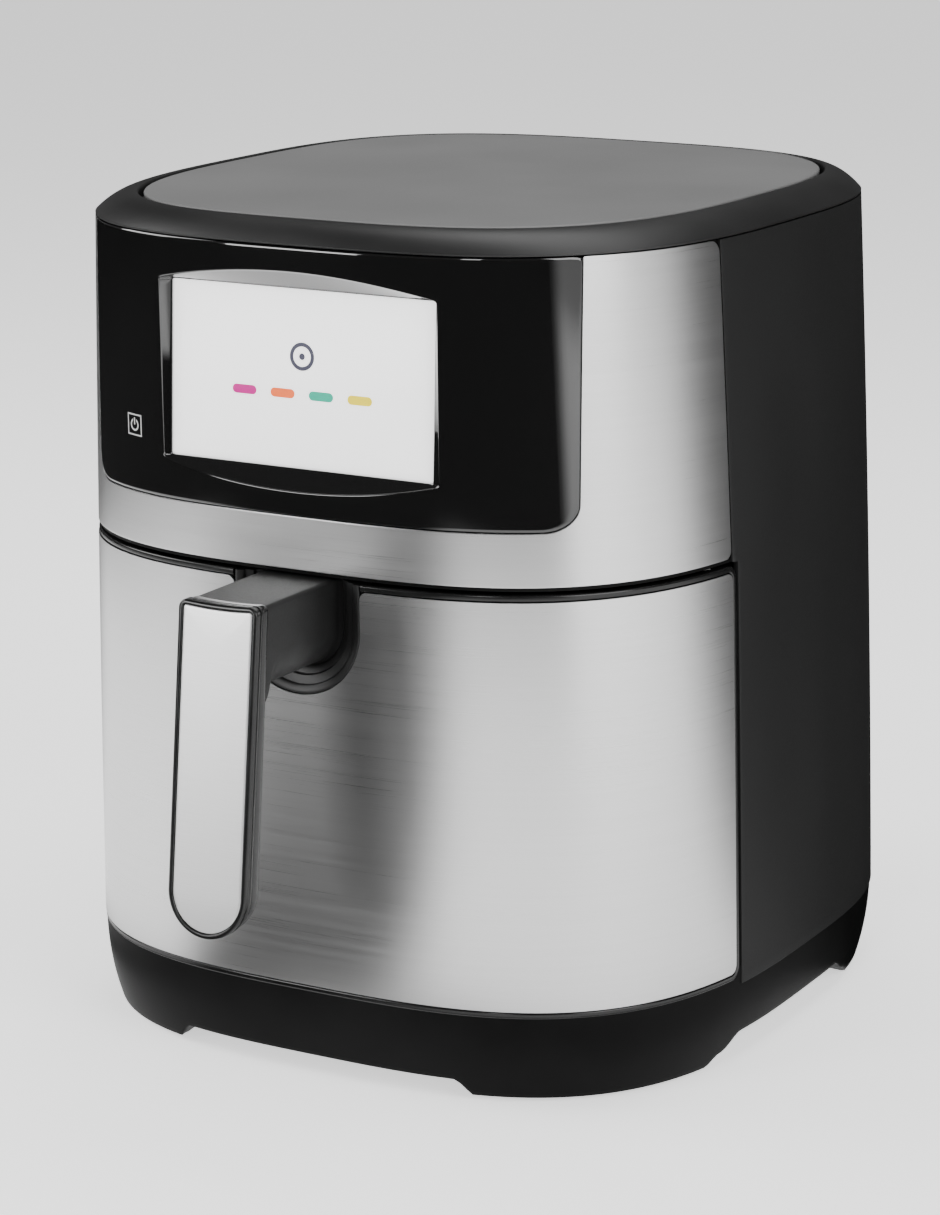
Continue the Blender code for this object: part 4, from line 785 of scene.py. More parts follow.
class AirFryerLooks(PropertyGroup):
    """Colours and light of the object and its stage."""

    steel: colour("Steel", (0.62, 0.62, 0.62), "Tone of the brushed steel")
    lid: colour("Lid", (0.15, 0.15, 0.15), "Tone of the lid")
    floor: colour("Floor", (0.9, 0.9, 0.9), "Tone of the floor")
    light: FloatProperty(name="Light", description="Strength of all the lamps together", default=1.0, min=0.0)


# ---- Base and casing -----------------------------------------------------------------------------------


def smooth(share):
    """Rises from 0 to 1 with flat ends: three times the square less twice the cube."""
    share = np.clip(share, 0.0, 1.0)
    return share * share * (3.0 - 2.0 * share)


def arch_height(x, y, sole):
    """Height of the base's underside: a low arch from front to back and a taller one from side to side.

    The side arch rises in two equal rounded steps.
    """
    front = 8.3 * MM * smooth((71.0 * MM - np.abs(x)) / (11.0 * MM))
    share = np.minimum(y + 81.0 * MM, 57.0 * MM - y) / (25.0 * MM)
    side = 12.0 * MM * 0.5 * (smooth(2.0 * share) + smooth(2.0 * share - 1.0))
    return np.maximum(sole, np.maximum(front, side))


def skirt_inset(z):
    """How far the base's skirt has drawn in at a height: a power of the distance from its top."""
    sole = low("base_tray")
    return 0.3 * MM + 5.4 * MM * np.clip((BASE_TOP - z) / (BASE_TOP - sole), 0.0, 1.0) ** 2.4


def build_base():
    """The foot tray: inner floor, wall, a double ledge, the curved skirt and the arched underside."""
    a = np.linspace(0.0, 2.0 * math.pi, 360, endpoint=False)
    loops = [on_body(a, 16.0 * MM, 4.0 * MM), on_body(a, 17.0 * MM, 3.2 * MM)]
    ledge = [(3.0, 0.0), (1.4, 0.0), (1.05, 0.12), (0.95, 0.4), (0.95, 1.5), (0.85, 1.75), (0.4, 1.95)]
    loops += [on_body(a, BASE_TOP - drop * MM, inset * MM) for inset, drop in ledge]
    sole = low("base_tray")
    foot_x, foot_y = plan(a, *reach(sole, 5.7 * MM))
    bottom = arch_height(foot_x, foot_y, sole)
    start = BASE_TOP - 2.1 * MM
    for share in np.linspace(0.0, 1.0, 22):
        z = start + (bottom + 0.6 * MM - start) * share
        loops.append(on_body(a, z, skirt_inset(z)))
    x, y = loops[-1][:, 0], loops[-1][:, 1]
    for drawn, drop in ((0.9985, 0.25), (0.995, 0.08)):
        loops.append(xyz(x * drawn, y * drawn, bottom + drop * MM))
    for drawn in 1.0 - np.linspace(0.012, 0.97, 44):
        z = arch_height(x * drawn, y * drawn, sole)
        loops.append(xyz(x * drawn, y * drawn, z))
    closed_stack("base_tray_shell", loops, black_plastic, "housing", "base_tray")
    profile = [(2.0, 1.5), (8.2, 1.5), (8.8, 1.3), (9.0, 0.9), (8.9, 0.3), (8.5, 0.0), (6.6, 0.0)]
    profile += [(6.3, 0.25), (5.2, 0.25), (4.9, 0.0), (2.0, 0.0)]
    for end in ("front", "rear"):
        for side in ("left", "right"):
            node = f"foot_pad_{end}_{side}"
            lo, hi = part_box(node)
            centre = (0.5 * (lo[0] + hi[0]), 0.5 * (lo[1] + hi[1]) - SHIFT)
            rings = turned([(r * MM, z * MM) for r, z in profile], centre)
            closed_stack(f"{node}_rubber", rings, silicone, "housing", node)


def head_seam(z):
    """Where the head's steel ends, as y: a straight line that leans back to the front with height."""
    return HEAD_SEAM + HEAD_SEAM_LEAN * (z - HEAD_LOW) / (HEAD_TOP - HEAD_LOW)


def build_housing():
    """The casing: columns of plan angle from the right seam round the back to the left one.

    The first columns slide from the seam to a fixed angle, so that the seam can jump where the drawer
    ends. The quads behind the exhaust grille are left out.
    """
    bottom, split = low("rear_housing"), HEAD_LOW - 1.6 * MM
    z0 = low("exhaust_grille") + 5.0 * MM - 0.3 * MM
    z1 = high("exhaust_grille") - 5.0 * MM + 0.3 * MM
    parts = [
        np.linspace(bottom, split - 0.5 * MM, 40),
        np.linspace(split, z0, 6),
        np.linspace(z0, z1, 14)[1:],
        np.linspace(z1, HEAD_TOP, 18)[1:],
    ]
    z = np.concatenate(parts)[:, None]
    seam = np.where(z < split - 0.1 * MM, HOUSING_SEAM, head_seam(z) + 1.0 * MM)
    middle = 0.5 * (z0 + z1)
    grille = 40.3 * MM
    start = angle_of_y(-52.0 * MM, middle)
    at_grille = math.pi / 2.0 - math.asin((grille / reach(middle)[0]) ** (PLAN_EXPONENT / 2.0))
    first = angle_of_y(seam, z) + (start - angle_of_y(seam, z)) * np.linspace(0.0, 1.0, 6)[:-1]
    rest = np.concatenate([np.linspace(start, at_grille, 76), np.linspace(at_grille, math.pi / 2.0, 14)[1:]])
    angle = np.concatenate([first, np.broadcast_to(rest, (len(z), len(rest)))], axis=1)
    right = on_body(angle, z)
    left = right[:, -2::-1] * np.array([-1.0, 1.0, 1.0])
    points = np.concatenate([right, left], axis=1)
    rows, columns = points.shape[:2]
    kept = np.ones((rows - 1, columns - 1), bool)
    row_low, row_high = len(parts[0]) + len(parts[1]) - 1, len(parts[0]) + len(parts[1]) + len(parts[2]) - 1
    centre = right.shape[1] - 1
    kept[row_low:row_high, centre - 13 : centre + 13] = False
    data = drop_loose(points.reshape(-1, 3), grid_faces(rows, columns, kept=kept))
    shell = make_piece("rear_housing_shell", *data, housing_plastic, "housing", "rear_housing")
    thicken(shell, 2.4 * MM, 0.45 * MM)


# ---- Control head --------------------------------------------------------------------------------------


def resample(line, count):
    """Points at equal steps along a line, without its last point."""
    length = np.concatenate([[0.0], np.cumsum(np.linalg.norm(np.diff(line, axis=0), axis=1))])
    at = np.linspace(0.0, length[-1], count + 1)[:-1]
    return np.stack([np.interp(at, length, line[:, k]) for k in (0, 1)], axis=-1)


def four_sided(half, bottom, top, radii, count):
    """Rectangle with round corners. Each side runs between the middles of two corners' arcs."""
    corners = [(-half, bottom), (half, bottom), (half, top), (-half, top)]
    sides = []
    for k in range(4):
        pieces = []
        for corner, first, last in ((k, 0.25, 0.5), ((k + 1) % 4, 0.0, 0.25)):
            x, y = corners[corner]
            r = radii[corner]
            a = math.pi + corner * 0.5 * math.pi + np.linspace(first, last, 9) * math.pi
            cx, cy = x - math.copysign(r, x), y + (r if corner < 2 else -r)
            pieces.append(np.stack([cx + r * np.cos(a), cy + r * np.sin(a)], axis=-1))
        sides.append(resample(np.concatenate(pieces), count))
    return np.concatenate(sides)


def soften(loop, times):
    """Round a loop's corners by giving each point the mean of itself and its neighbours, times over."""
    for _ in range(times):
        loop = 0.25 * np.roll(loop, 1, axis=0) + 0.5 * loop + 0.25 * np.roll(loop, -1, axis=0)
    return loop


def mouth_loop(count, spare=0.0):
    """The recess's outer edge: straight sides, with the lower and upper edges bowed as parabolas."""
    half = SCREEN_HALF + 3.5 * MM - spare
    u = np.linspace(-1.0, 1.0, count + 1)[:-1]
    bow = 1.4 * MM - spare + 7.0 * MM * (1.0 - u * u)
    edge = SCREEN_TALL + 1.4 * MM - spare
    rise = np.linspace(-edge, edge, count + 1)[:-1]
    bottom = np.stack([half * u, SCREEN_Z - SCREEN_TALL - bow], axis=-1)
    right = np.stack([np.full(count, half), SCREEN_Z + rise], axis=-1)
    top = np.stack([-half * u, SCREEN_Z + SCREEN_TALL + bow], axis=-1)
    left = np.stack([np.full(count, -half), SCREEN_Z - rise], axis=-1)
    return soften(np.concatenate([bottom, right, top, left]), 3)


def on_front(loop, inset):
    """Lay a loop of x and z onto the body's front surface."""
    x, z = loop[:, 0], loop[:, 1]
    return xyz(x, front_y(x, z) + inset, z)


def build_head():
    """The steel fascia and the glossy panel with its sunk screen window."""
    sizes = bpy.context.scene.air_fryer_sizes
    gap, corner = 0.4 * MM, sizes.panel_corner + 0.4 * MM
    half = PANEL_HALF + gap

    def floor(x):
        return PANEL_LOW - gap + arc_drop(half - np.abs(x), corner)

    data = front_sheet(
        HEAD_LOW, HEAD_TOP, head_seam, 0.0, (3.5 * MM, 5.0 * MM), (half, floor, 0.4 * MM), (12, 40)
    )
    steel = make_piece("fascia_steel", *drop_loose(*data), brushed_steel, "housing", "front_fascia")
    thicken(steel, STEEL, sizes.steel_edge)

    count = 96
    loops = []
    for spare, inset in ((0.0, 2.6), (0.0, 0.7), (0.12, 0.25), (0.4, 0.05), (0.8, 0.0)):
        s = spare * MM
        r = sizes.panel_corner - s
        outline = four_sided(PANEL_HALF - s, PANEL_LOW + s, HEAD_TOP - s, (r, r, 1.0 * MM, 1.0 * MM), count)
        loops.append(on_front(outline, inset * MM))
    outline, mouth = loops[-1][:, [0, 2]], mouth_loop(count)
    for share in np.linspace(0.0, 1.0, 26)[1:]:
        loops.append(on_front(outline + (mouth - outline) * share, 0.0))
    for spare, inset in ((0.15, 0.03), (0.32, 0.12), (0.45, 0.3), (0.55, 0.55)):
        loops.append(on_front(mouth_loop(count, spare * MM), inset * MM))
    window = four_sided(SCREEN_HALF, SCREEN_Z - SCREEN_TALL, SCREEN_Z + SCREEN_TALL, [0.8 * MM] * 4, count)
    wider = window + np.sign(window - np.array([0.0, SCREEN_Z])) * 0.5 * MM
    wide = xyz(wider[:, 0], screen_y(wider[:, 1]) - 1.1 * MM, wider[:, 1])
    rim = loops[-1]
    for share in np.linspace(0.0, 1.0, 12)[1:]:
        loops.append(rim + (wide - rim) * share)
    for out, ahead in ((0.42, 1.05), (0.1, 0.8), (0.0, 0.3)):
        spread = window + np.sign(window - np.array([0.0, SCREEN_Z])) * out * MM
        y = screen_y(spread[:, 1]) - ahead * MM
        loops.append(xyz(spread[:, 0], y, spread[:, 1]))
    panel = make_piece("control_panel_gloss", *stack(loops), gloss_panel, "housing", "control_panel")
    thicken(panel, 0.5 * MM)


# ---- Top -----------------------------------------------------------------------------------------------


def ring_loop(share, z, inset=0.0, count=360):
    """The plan at the ring's foot, drawn in by a share of the ring's width on each side."""
    drawn = (16.3 * MM, 13.5 * MM, 6.0 * MM)
    sizes = [size - share * step - inset for size, step in zip(reach(RING_LOW), drawn)]
    a = np.linspace(0.0, 2.0 * math.pi, count, endpoint=False)
    x, y = plan(a, *sizes)
    return xyz(x, y, z)


def build_top():
    """The bevelled ring and the lid. The ring's height is one less a power of its remaining width."""
    sizes = bpy.context.scene.air_fryer_sizes
    rise = TOP - RING_LOW
    ledge = LID_LOW - 0.3 * MM
    loops = [ring_loop(0.0, RING_LOW + 0.35 * MM), ring_loop(0.006, RING_LOW)]
    loops.append(ring_loop(0.16, RING_LOW))
    loops += [ring_loop(1.0, ledge - 1.6 * MM), ring_loop(1.0, ledge - 1.6 * MM, 6.0 * MM)]
    loops += [ring_loop(1.0, ledge, 6.0 * MM), ring_loop(1.0, ledge)]
    for share, drop in ((1.0, 0.9), (0.995, 0.45), (0.975, 0.15), (0.94, 0.03)):
        loops.append(ring_loop(share, TOP - drop * MM))
    for share in np.linspace(0.9, 0.0, 26) ** 1.25:
        climb = 1.0 - (1.0 - share) ** 2.1
        loops.append(ring_loop(share, RING_LOW + 0.6 * MM + (rise - 0.62 * MM) * climb))
    points, faces = stack(loops)
    faces = grid_faces(len(loops), len(loops[0]), wrap_columns=True, wrap_rows=True)
    make_piece("top_ring_moulding", points, faces, ring_plastic, "housing", "top_ring")

    groove, edge = sizes.lid_groove, sizes.lid_edge
    lid = [ring_loop(1.0, LID_LOW, groove + 0.3 * MM), ring_loop(1.0, LID_LOW + 0.3 * MM, groove)]
    for a in np.linspace(0.0, 0.5 * math.pi, 7):
        lid.append(ring_loop(1.0, TOP - edge + edge * math.sin(a), groove + edge * (1.0 - math.cos(a))))
    flat = lid[-1]
    for share in np.linspace(1.0, 0.03, 30)[1:]:
        lid.append(flat * np.array([share, share, 1.0]))
    closed_stack("top_cover_lid", lid, lid_plastic, "housing", "top_cover")


# ---- Drawer --------------------------------------------------------------------------------------------


def root_floor(x):
    """The notch's lower edge round the handle's root: the lower half of a circle."""
    return ROOT_CENTRE - np.sqrt(np.maximum(ROOT_HALF**2 - x * x, 0.0))


def lip_path(inset, rim, bend):
    """Right half of the line down the middle of the drawer's lip, from the bottom's middle to the notch.

    It runs along the bottom, turns up along the seam by a quarter circle, and turns back along the top.
    """
    seam = DRAWER_SEAM - 0.5 * rim
    bottom, top = DRAWER_LOW + 0.5 * rim, DRAWER_HIGH - 0.5 * rim
    deep = 50.0 * MM
    xs = np.linspace(0.0, 112.0 * MM, 40)
    turn = np.linspace(0.0, 0.5 * math.pi, 9)[1:-1]
    corner = np.linspace(0.0, 1.0, 26)[1:-1]
    side = np.linspace(deep, bend, 18)
    x = np.concatenate([xs, np.full(len(corner) + len(side), xs[-1])])
    d = np.concatenate([np.full(len(xs) + len(corner), deep), side])
    mix = np.concatenate([np.zeros(len(xs)), corner, np.ones(len(side))])

    def run(z, x, d, mix):
        by_x = angle_of_x(x, z, inset)
        return on_body(by_x + (angle_of_y(seam - d, z, inset) - by_x) * mix, z, inset)

    low_run = run(np.full(len(x), bottom), x, d, mix)
    low_turn = run(bottom + bend * (1 - np.cos(turn)), 0 * turn, bend * (1 - np.sin(turn)), 1.0)
    up_z = np.linspace(bottom + bend, top - bend, 34)
    upright = run(up_z, 0 * up_z, 0 * up_z, 1.0)
    high_turn = run(top - bend * (1 - np.sin(turn)), 0 * turn, bend * (1 - np.cos(turn)), 1.0)
    end = ROOT_HALF + 0.3 * MM
    keep = x >= end
    x_top = np.append(x[keep][::-1], end)
    d_top = np.append(d[keep][::-1], deep)
    mix_top = np.append(mix[keep][::-1], 0.0)
    high_run = run(np.full(len(x_top), top), x_top, d_top, mix_top)
    return np.concatenate([low_run, low_turn, upright, high_turn, high_run])


def plan_normal(points):
    """Outward direction of the plan at a point: the gradient of the superellipse's sum of powers."""
    side, front, back = reach(points[:, 2])
    deep = np.where(points[:, 1] < 0.0, front, back)
    power = PLAN_EXPONENT - 1.0
    nx = np.sign(points[:, 0]) * np.abs(points[:, 0] / side) ** power / side
    ny = np.sign(points[:, 1]) * np.abs(points[:, 1] / deep) ** power / deep
    return xyz(nx, ny, 0.0)


def build_drawer_front():
    """The moulded front behind the steel, its lip, its sole, the handle's recess and the steel skin."""
    sizes = bpy.context.scene.air_fryer_sizes
    rim = sizes.lip_width
    bed = STEEL + 0.3 * MM

    def drawer_seam(z):
        return np.full_like(z, DRAWER_SEAM - 0.4 * MM)

    notch = (ROOT_HALF + 0.6 * MM, lambda x: root_floor(x * 0.98) - 0.6 * MM, 0.3 * MM)
    data = front_sheet(
        DRAWER_LOW + 0.4 * MM, DRAWER_HIGH - 0.4 * MM, drawer_seam, bed, (3.0 * MM, 3.0 * MM), notch
    )
    moulding = make_piece("drawer_front_bed", *drop_loose(*data), black_plastic, "drawer", "drawer_front")
    thicken(moulding, 2.6 * MM, 0.3 * MM, 2)

    depth = 1.9 * MM
    right = lip_path(depth, rim, 4.4 * MM)
    path = np.concatenate([right[:0:-1] * np.array([-1.0, 1.0, 1.0]), right])
    section = round_section(depth, 0.5 * rim, 0.75 * MM)
    loops = sweep(path, plan_normal(path), section)
    closed_stack("drawer_lip", list(loops), gloss_black, "drawer", "drawer_front", 50.0)

    angles = np.linspace(0.0, 1.0, 160)
    sole = []
    for inset, z in ((3.9, 0.2), (13.6, 0.2), (14.0, 0.6), (14.0, 2.0), (13.6, 2.4), (3.9, 2.4)):
        at = DRAWER_LOW + z * MM
        end = angle_of_y(DRAWER_SEAM - 0.5 * MM, at, inset * MM)
        sole.append(on_body(-math.pi - end + (math.pi + 2.0 * end) * angles, at, inset * MM))
    loops = list(np.stack(sole, axis=1))
    closed_stack("drawer_sole", loops, black_plastic, "drawer", "drawer_front")

    def skin_seam(z):
        return np.full_like(z, SKIN_SEAM)

    skin = front_sheet(
        SKIN_LOW, SKIN_HIGH, skin_seam, 0.0, (3.6 * MM, 3.6 * MM), (ROOT_HALF, root_floor, 3.0 * MM), (60, 24)
    )
    steel = make_piece("drawer_steel", *drop_loose(*skin), brushed_steel, "drawer", "drawer_skin")
    thicken(steel, STEEL, sizes.steel_edge)
    build_root()


def build_root():
    """The stepped recess round the handle's arm: a U-shaped line drawn in by steps, each a little deeper."""
    steps = [
        (-0.6, 2.6), (0.3, 2.4), (0.3, 0.75), (0.42, 0.45), (0.7, 0.3), (1.5, 0.34), (3.1, 0.95), (3.5, 1.2),
        (3.7, 1.6), (3.75, 2.3), (3.85, 2.5), (4.2, 2.6), (6.6, 3.0), (7.1, 3.2), (7.3, 3.6), (7.35, 4.4),
        (7.5, 4.7), (8.0, 4.9), (9.6, 5.4), (10.3, 5.9), (10.6, 6.4), (14.0, 6.5), (14.0, 8.6), (-0.6, 8.6),
    ]
    top = DRAWER_HIGH - 0.35 * MM
    turn = np.linspace(math.pi, 2.0 * math.pi, 61)
    drop = np.linspace(1.0, 0.0, 12)[:-1]
    rows = []
    for drawn, depth in steps:
        radius = ROOT_HALF - drawn * MM
        x = np.concatenate([np.full(11, -radius), radius * np.cos(turn), np.full(11, radius)])
        rise = (top - ROOT_CENTRE) * drop
        z = ROOT_CENTRE + np.concatenate([rise, radius * np.sin(turn), rise[::-1]])
        rows.append(xyz(x, front_y(x, z) + depth * MM, z))
    count, total = len(rows[0]), len(rows) * len(rows[0])
    points, _ = stack(rows)
    faces = grid_faces(len(rows), count, wrap_rows=True)
    caps = (range(0, total, count), range(total - 1, 0, -count))
    make_piece("handle_recess", points, faces, ring_plastic, "drawer", "drawer_front", caps)


# ---- Handle --------------------------------------------------------------------------------------------


def grip_y(z):
    """The plane of the grip's face, which comes forward towards the bottom."""
    return GRIP_FACE - GRIP_LEAN * (GRIP_TOP - z)


def grip_loop(drawn, depth, lean=0.0):
    """The grip's outline drawn in by a distance and set a depth behind its face.

    The top edge dips by a parabola between its corners, and lean adds depth towards the bottom.
    """
    half, top, bottom, corner = GRIP_HALF, GRIP_TOP, GRIP_LOW, 3.6 * MM
    x, z = tongue(half - drawn, top - drawn, bottom + drawn, max(corner - drawn, 0.4 * MM))
    across = np.minimum(1.0, np.abs(x) / (half - drawn))
    z = z - 0.7 * MM * (1.0 - across**2) * smooth((z - top + 8.0 * MM) / (6.0 * MM))
    share = (top - z) / (top - bottom)
    return xyz(x, grip_y(z) + depth + lean * share, z)


def build_handle():
    """The bezel, the crowned steel inlay, the grip's rear half and the arm to the drawer."""
    sizes = bpy.context.scene.air_fryer_sizes
    width = sizes.bezel_width
    profile = [(3.0, 4.5), (0.5, 4.5), (0.12, 4.35), (0.0, 4.0), (0.0, 3.45), (0.3, 3.2), (0.3, 2.95)]
    profile += [(0.0, 2.7), (0.0, 1.0), (0.08, 0.6), (0.3, 0.25), (0.65, 0.05), (1.0, 0.0)]
    loops = [grip_loop(drawn * MM, depth * MM) for drawn, depth in profile]
    for short, depth in ((0.55, 0.0), (0.3, 0.06), (0.12, 0.25), (0.0, 0.6), (0.0, 1.35)):
        loops.append(grip_loop(width - short * MM, depth * MM))
    closed_stack("handle_bezel_frame", loops, gloss_black, "drawer", "handle_bezel")

    loops = [grip_loop(width + 0.15 * MM, 1.3 * MM), grip_loop(width + 0.12 * MM, 0.65 * MM)]
    loops += [grip_loop(width + 0.2 * MM, 0.48 * MM), grip_loop(width + 0.4 * MM, 0.36 * MM)]
    span = GRIP_HALF - width - 0.4 * MM
    for share in np.linspace(0.0, 1.0, 22)[1:-1]:
        crown = 0.36 * MM - 0.2 * MM * (1.0 - (1.0 - share) ** 2)
        loops.append(grip_loop(width + 0.4 * MM + span * share, crown))
    closed_stack("handle_inlay_plate", loops, inlay_steel, "drawer", "handle_inlay", 30.0)

    profile = [(3.0, 4.75), (0.85, 4.75), (0.62, 4.9), (0.5, 5.2), (0.5, 6.0), (0.55, 8.2), (0.7, 9.6)]
    profile += [(1.1, 10.9), (1.8, 11.9), (2.8, 12.4), (4.0, 12.5)]
    loops = []
    for drawn, depth in profile:
        lean = 1.5 * MM * max(0.0, depth - 6.0) / 6.5
        loops.append(grip_loop(drawn * MM, depth * MM - lean, lean=lean))
    closed_stack("handle_grip", loops, gloss_black, "drawer", "handle_body")

    start, end = grip_y(GRIP_TOP) + 5.0 * MM, ROOT_SEAT - 0.3 * MM
    arm_top = DRAWER_HIGH + 0.5 * MM
    loops = []
    for y in start + (end - start) * np.linspace(0.0, 1.0, 40):
        near_grip = np.clip(1.0 - (y - start - 5.0 * MM) / (11.0 * MM), 0.0, 1.0)
        near_root = np.clip(1.0 - (end - y) / (3.0 * MM), 0.0, 1.0)
        flare = 10.0 * MM * (1.0 - math.sqrt(1.0 - near_grip**2))
        spread = 1.2 * MM * (1.0 - math.sqrt(1.0 - near_root**2))
        half = ARM_HALF + spread - 0.8 * MM
        x, z = tongue(half, arm_top, ROOT_CENTRE - half - flare, 1.6 * MM)
        loops.append(xyz(x, y, z))
    closed_stack("handle_arm", loops, arm_plastic, "drawer", "handle_body")


# ---- Pan and plate -------------------------------------------------------------------------------------


def build_pan():
    """The pan: a rounded square whose walls lean out with height, a rolled rim and a dished floor."""
    lo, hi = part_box("pan")
    half_rim, bottom, top = hi[0], lo[2], hi[2]
    centre = (0.0, 0.5 * (lo[1] + hi[1]) - SHIFT)
    rim, wall, draft, radius = 3.0 * MM, 0.9 * MM, 8.0 * MM, 38.0 * MM
    half = half_rim - rim

    def loop(drawn, z):
        """The wall's outline at a height, drawn in by a distance."""
        wide = half - draft * (top - z) / (top - bottom) - drawn
        return square_loop(wide, wide, radius - drawn, z, 16, 14, centre)

    def rounded(drawn, z, bend, inner):
        """A quarter circle from the wall down onto the floor."""
        turns = np.linspace(0.0, 0.5 * math.pi, 9)
        loops = []
        for a in turns:
            loops.append(loop(drawn + bend * (1.0 - math.cos(a)), z + bend * (1.0 - math.sin(a))))
        return loops if inner else loops[::-1]

    def floor(flat, rising):
        """The floor inside the wall's foot, with a raised square bead as a narrow hump."""
        loops = []
        spans = (1.0, 0.72, 8), (0.71, 0.62, 10), (0.6, 0.03, 12)
        shares = np.concatenate([np.linspace(*span) for span in spans])[1:]
        for share in shares:
            ring = flat.copy()
            ring[:, 0] = centre[0] + (flat[:, 0] - centre[0]) * share
            ring[:, 1] = centre[1] + (flat[:, 1] - centre[1]) * share
            ring[:, 2] += 0.9 * MM * math.exp(-(((share - 0.665) / 0.022) ** 2)) * rising
            loops.append(ring)
        return loops

    outside = rounded(0.0, bottom, 7.0 * MM, False)
    under = floor(outside[0], 0.0)[::-1]
    levels = np.linspace(bottom + 7.0 * MM, top - 2.6 * MM, 26)
    loops = under + outside + [loop(0.0, z) for z in levels[1:]]
    roll = (0.3, 1.8), (1.2, 1.6), (2.3, 1.6), (2.8, 1.4), (3.0, 1.0), (3.0, 0.6), (2.8, 0.2), (2.3, 0.0)
    for out, drop in roll:
        z = top - drop * MM
        wide = half + out * MM
        loops.append(square_loop(wide, wide, radius + out * MM, z, 16, 14, centre))
    loops += [loop(-0.6 * MM, top), loop(0.3 * MM, top - 0.05 * MM), loop(0.75 * MM, top - 0.4 * MM)]
    loops += [loop(wall, z) for z in levels[::-1][1:-1]]
    inside = rounded(wall, bottom + wall, 7.0 * MM, True)
    loops += inside + floor(inside[-1], 1.0)
    closed_stack("pan_shell", loops, pan_coating, "drawer", "pan")


def four_runs(along, out):
    """A square's outline, anticlockwise from its lower left corner, from one side's steps."""
    sides = (along, -out), (out, along), (-along, out), (-out, -along)
    return np.concatenate([np.stack(side, axis=-1) for side in sides])


def build_plate():
    """The crisper plate: square cells that each hold a round hole, and a border with a raised bead."""
    lo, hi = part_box("crisper_plate")
    half, top = hi[0], hi[2]
    centre_y = 0.5 * (lo[1] + hi[1]) - SHIFT
    across, hole, steps = 5, 6.8 * MM, 12
    pitch = 2.0 * (half - 33.5 * MM) / (across - 1)
    side = np.linspace(-0.5, 0.5, steps + 1)[:-1] * pitch
    edge = np.full(steps, 0.5 * pitch)
    square = four_runs(side, edge)
    circle = square / np.linalg.norm(square, axis=1, keepdims=True)
    rows = [np.column_stack([square, np.zeros(len(square))])]
    for radius, drop in ((2.4, 0.0), (1.2, 0.0), (0.6, 0.08), (0.2, 0.3), (0.0, 0.7)):
        ring = circle * (hole + radius * MM)
        rows.append(np.column_stack([ring, np.full(len(ring), -drop * MM)]))
    cell = np.stack(rows)
    places = (np.arange(across) - 0.5 * (across - 1)) * pitch
    spots = np.stack(np.meshgrid(places, places), -1).reshape(-1, 2)
    spots = np.column_stack([spots, np.zeros(len(spots))])
    cells = (spots[:, None, None] + cell[None]).reshape(-1, 3)
    one = grid_faces(len(rows), len(square), wrap_columns=True)
    faces = (np.arange(len(spots))[:, None, None] * cell.shape[0] * cell.shape[1] + one[None]).reshape(-1, 4)

    field = 0.5 * across * pitch
    run = np.linspace(-field, field, across * steps + 1)[:-1]
    far = np.full(len(run), field)
    inner = four_runs(run, far)
    corner = 34.9 * MM
    outer = four_sided(half, -half, half, [corner] * 4, across * steps)
    border = []
    spans = (0.0, 0.3, 4), (0.36, 0.74, 12), (0.8, 1.0, 4)
    for share in np.concatenate([np.linspace(*span) for span in spans]):
        ring = inner + (outer - inner) * share
        bead = 0.8 * MM * math.exp(-(((share - 0.55) / 0.1) ** 2))
        border.append(np.column_stack([ring, np.full(len(ring), bead)]))
    points, quads = stack(border)
    data = np.concatenate([cells, points]), np.concatenate([faces, quads[:, ::-1] + len(cells)])
    data = weld(*data)
    data[0][:, 1] += centre_y
    data[0][:, 2] += top
    plate = make_piece("crisper_plate_sheet", *data, pan_coating, "crisper", "crisper_plate", upward=True)
    thicken(plate, high("crisper_plate") - low("crisper_plate"), 0.3 * MM, 2)


def weld(points, faces):
    """Give points that lie within a hundredth of a millimetre of each other one number."""
    key = np.round(points / (0.01 * MM)).astype(np.int64)
    _, first, number = np.unique(key, axis=0, return_index=True, return_inverse=True)
    return points[first], number.reshape(-1)[faces]


# ---- Back ----------------------------------------------------------------------------------------------


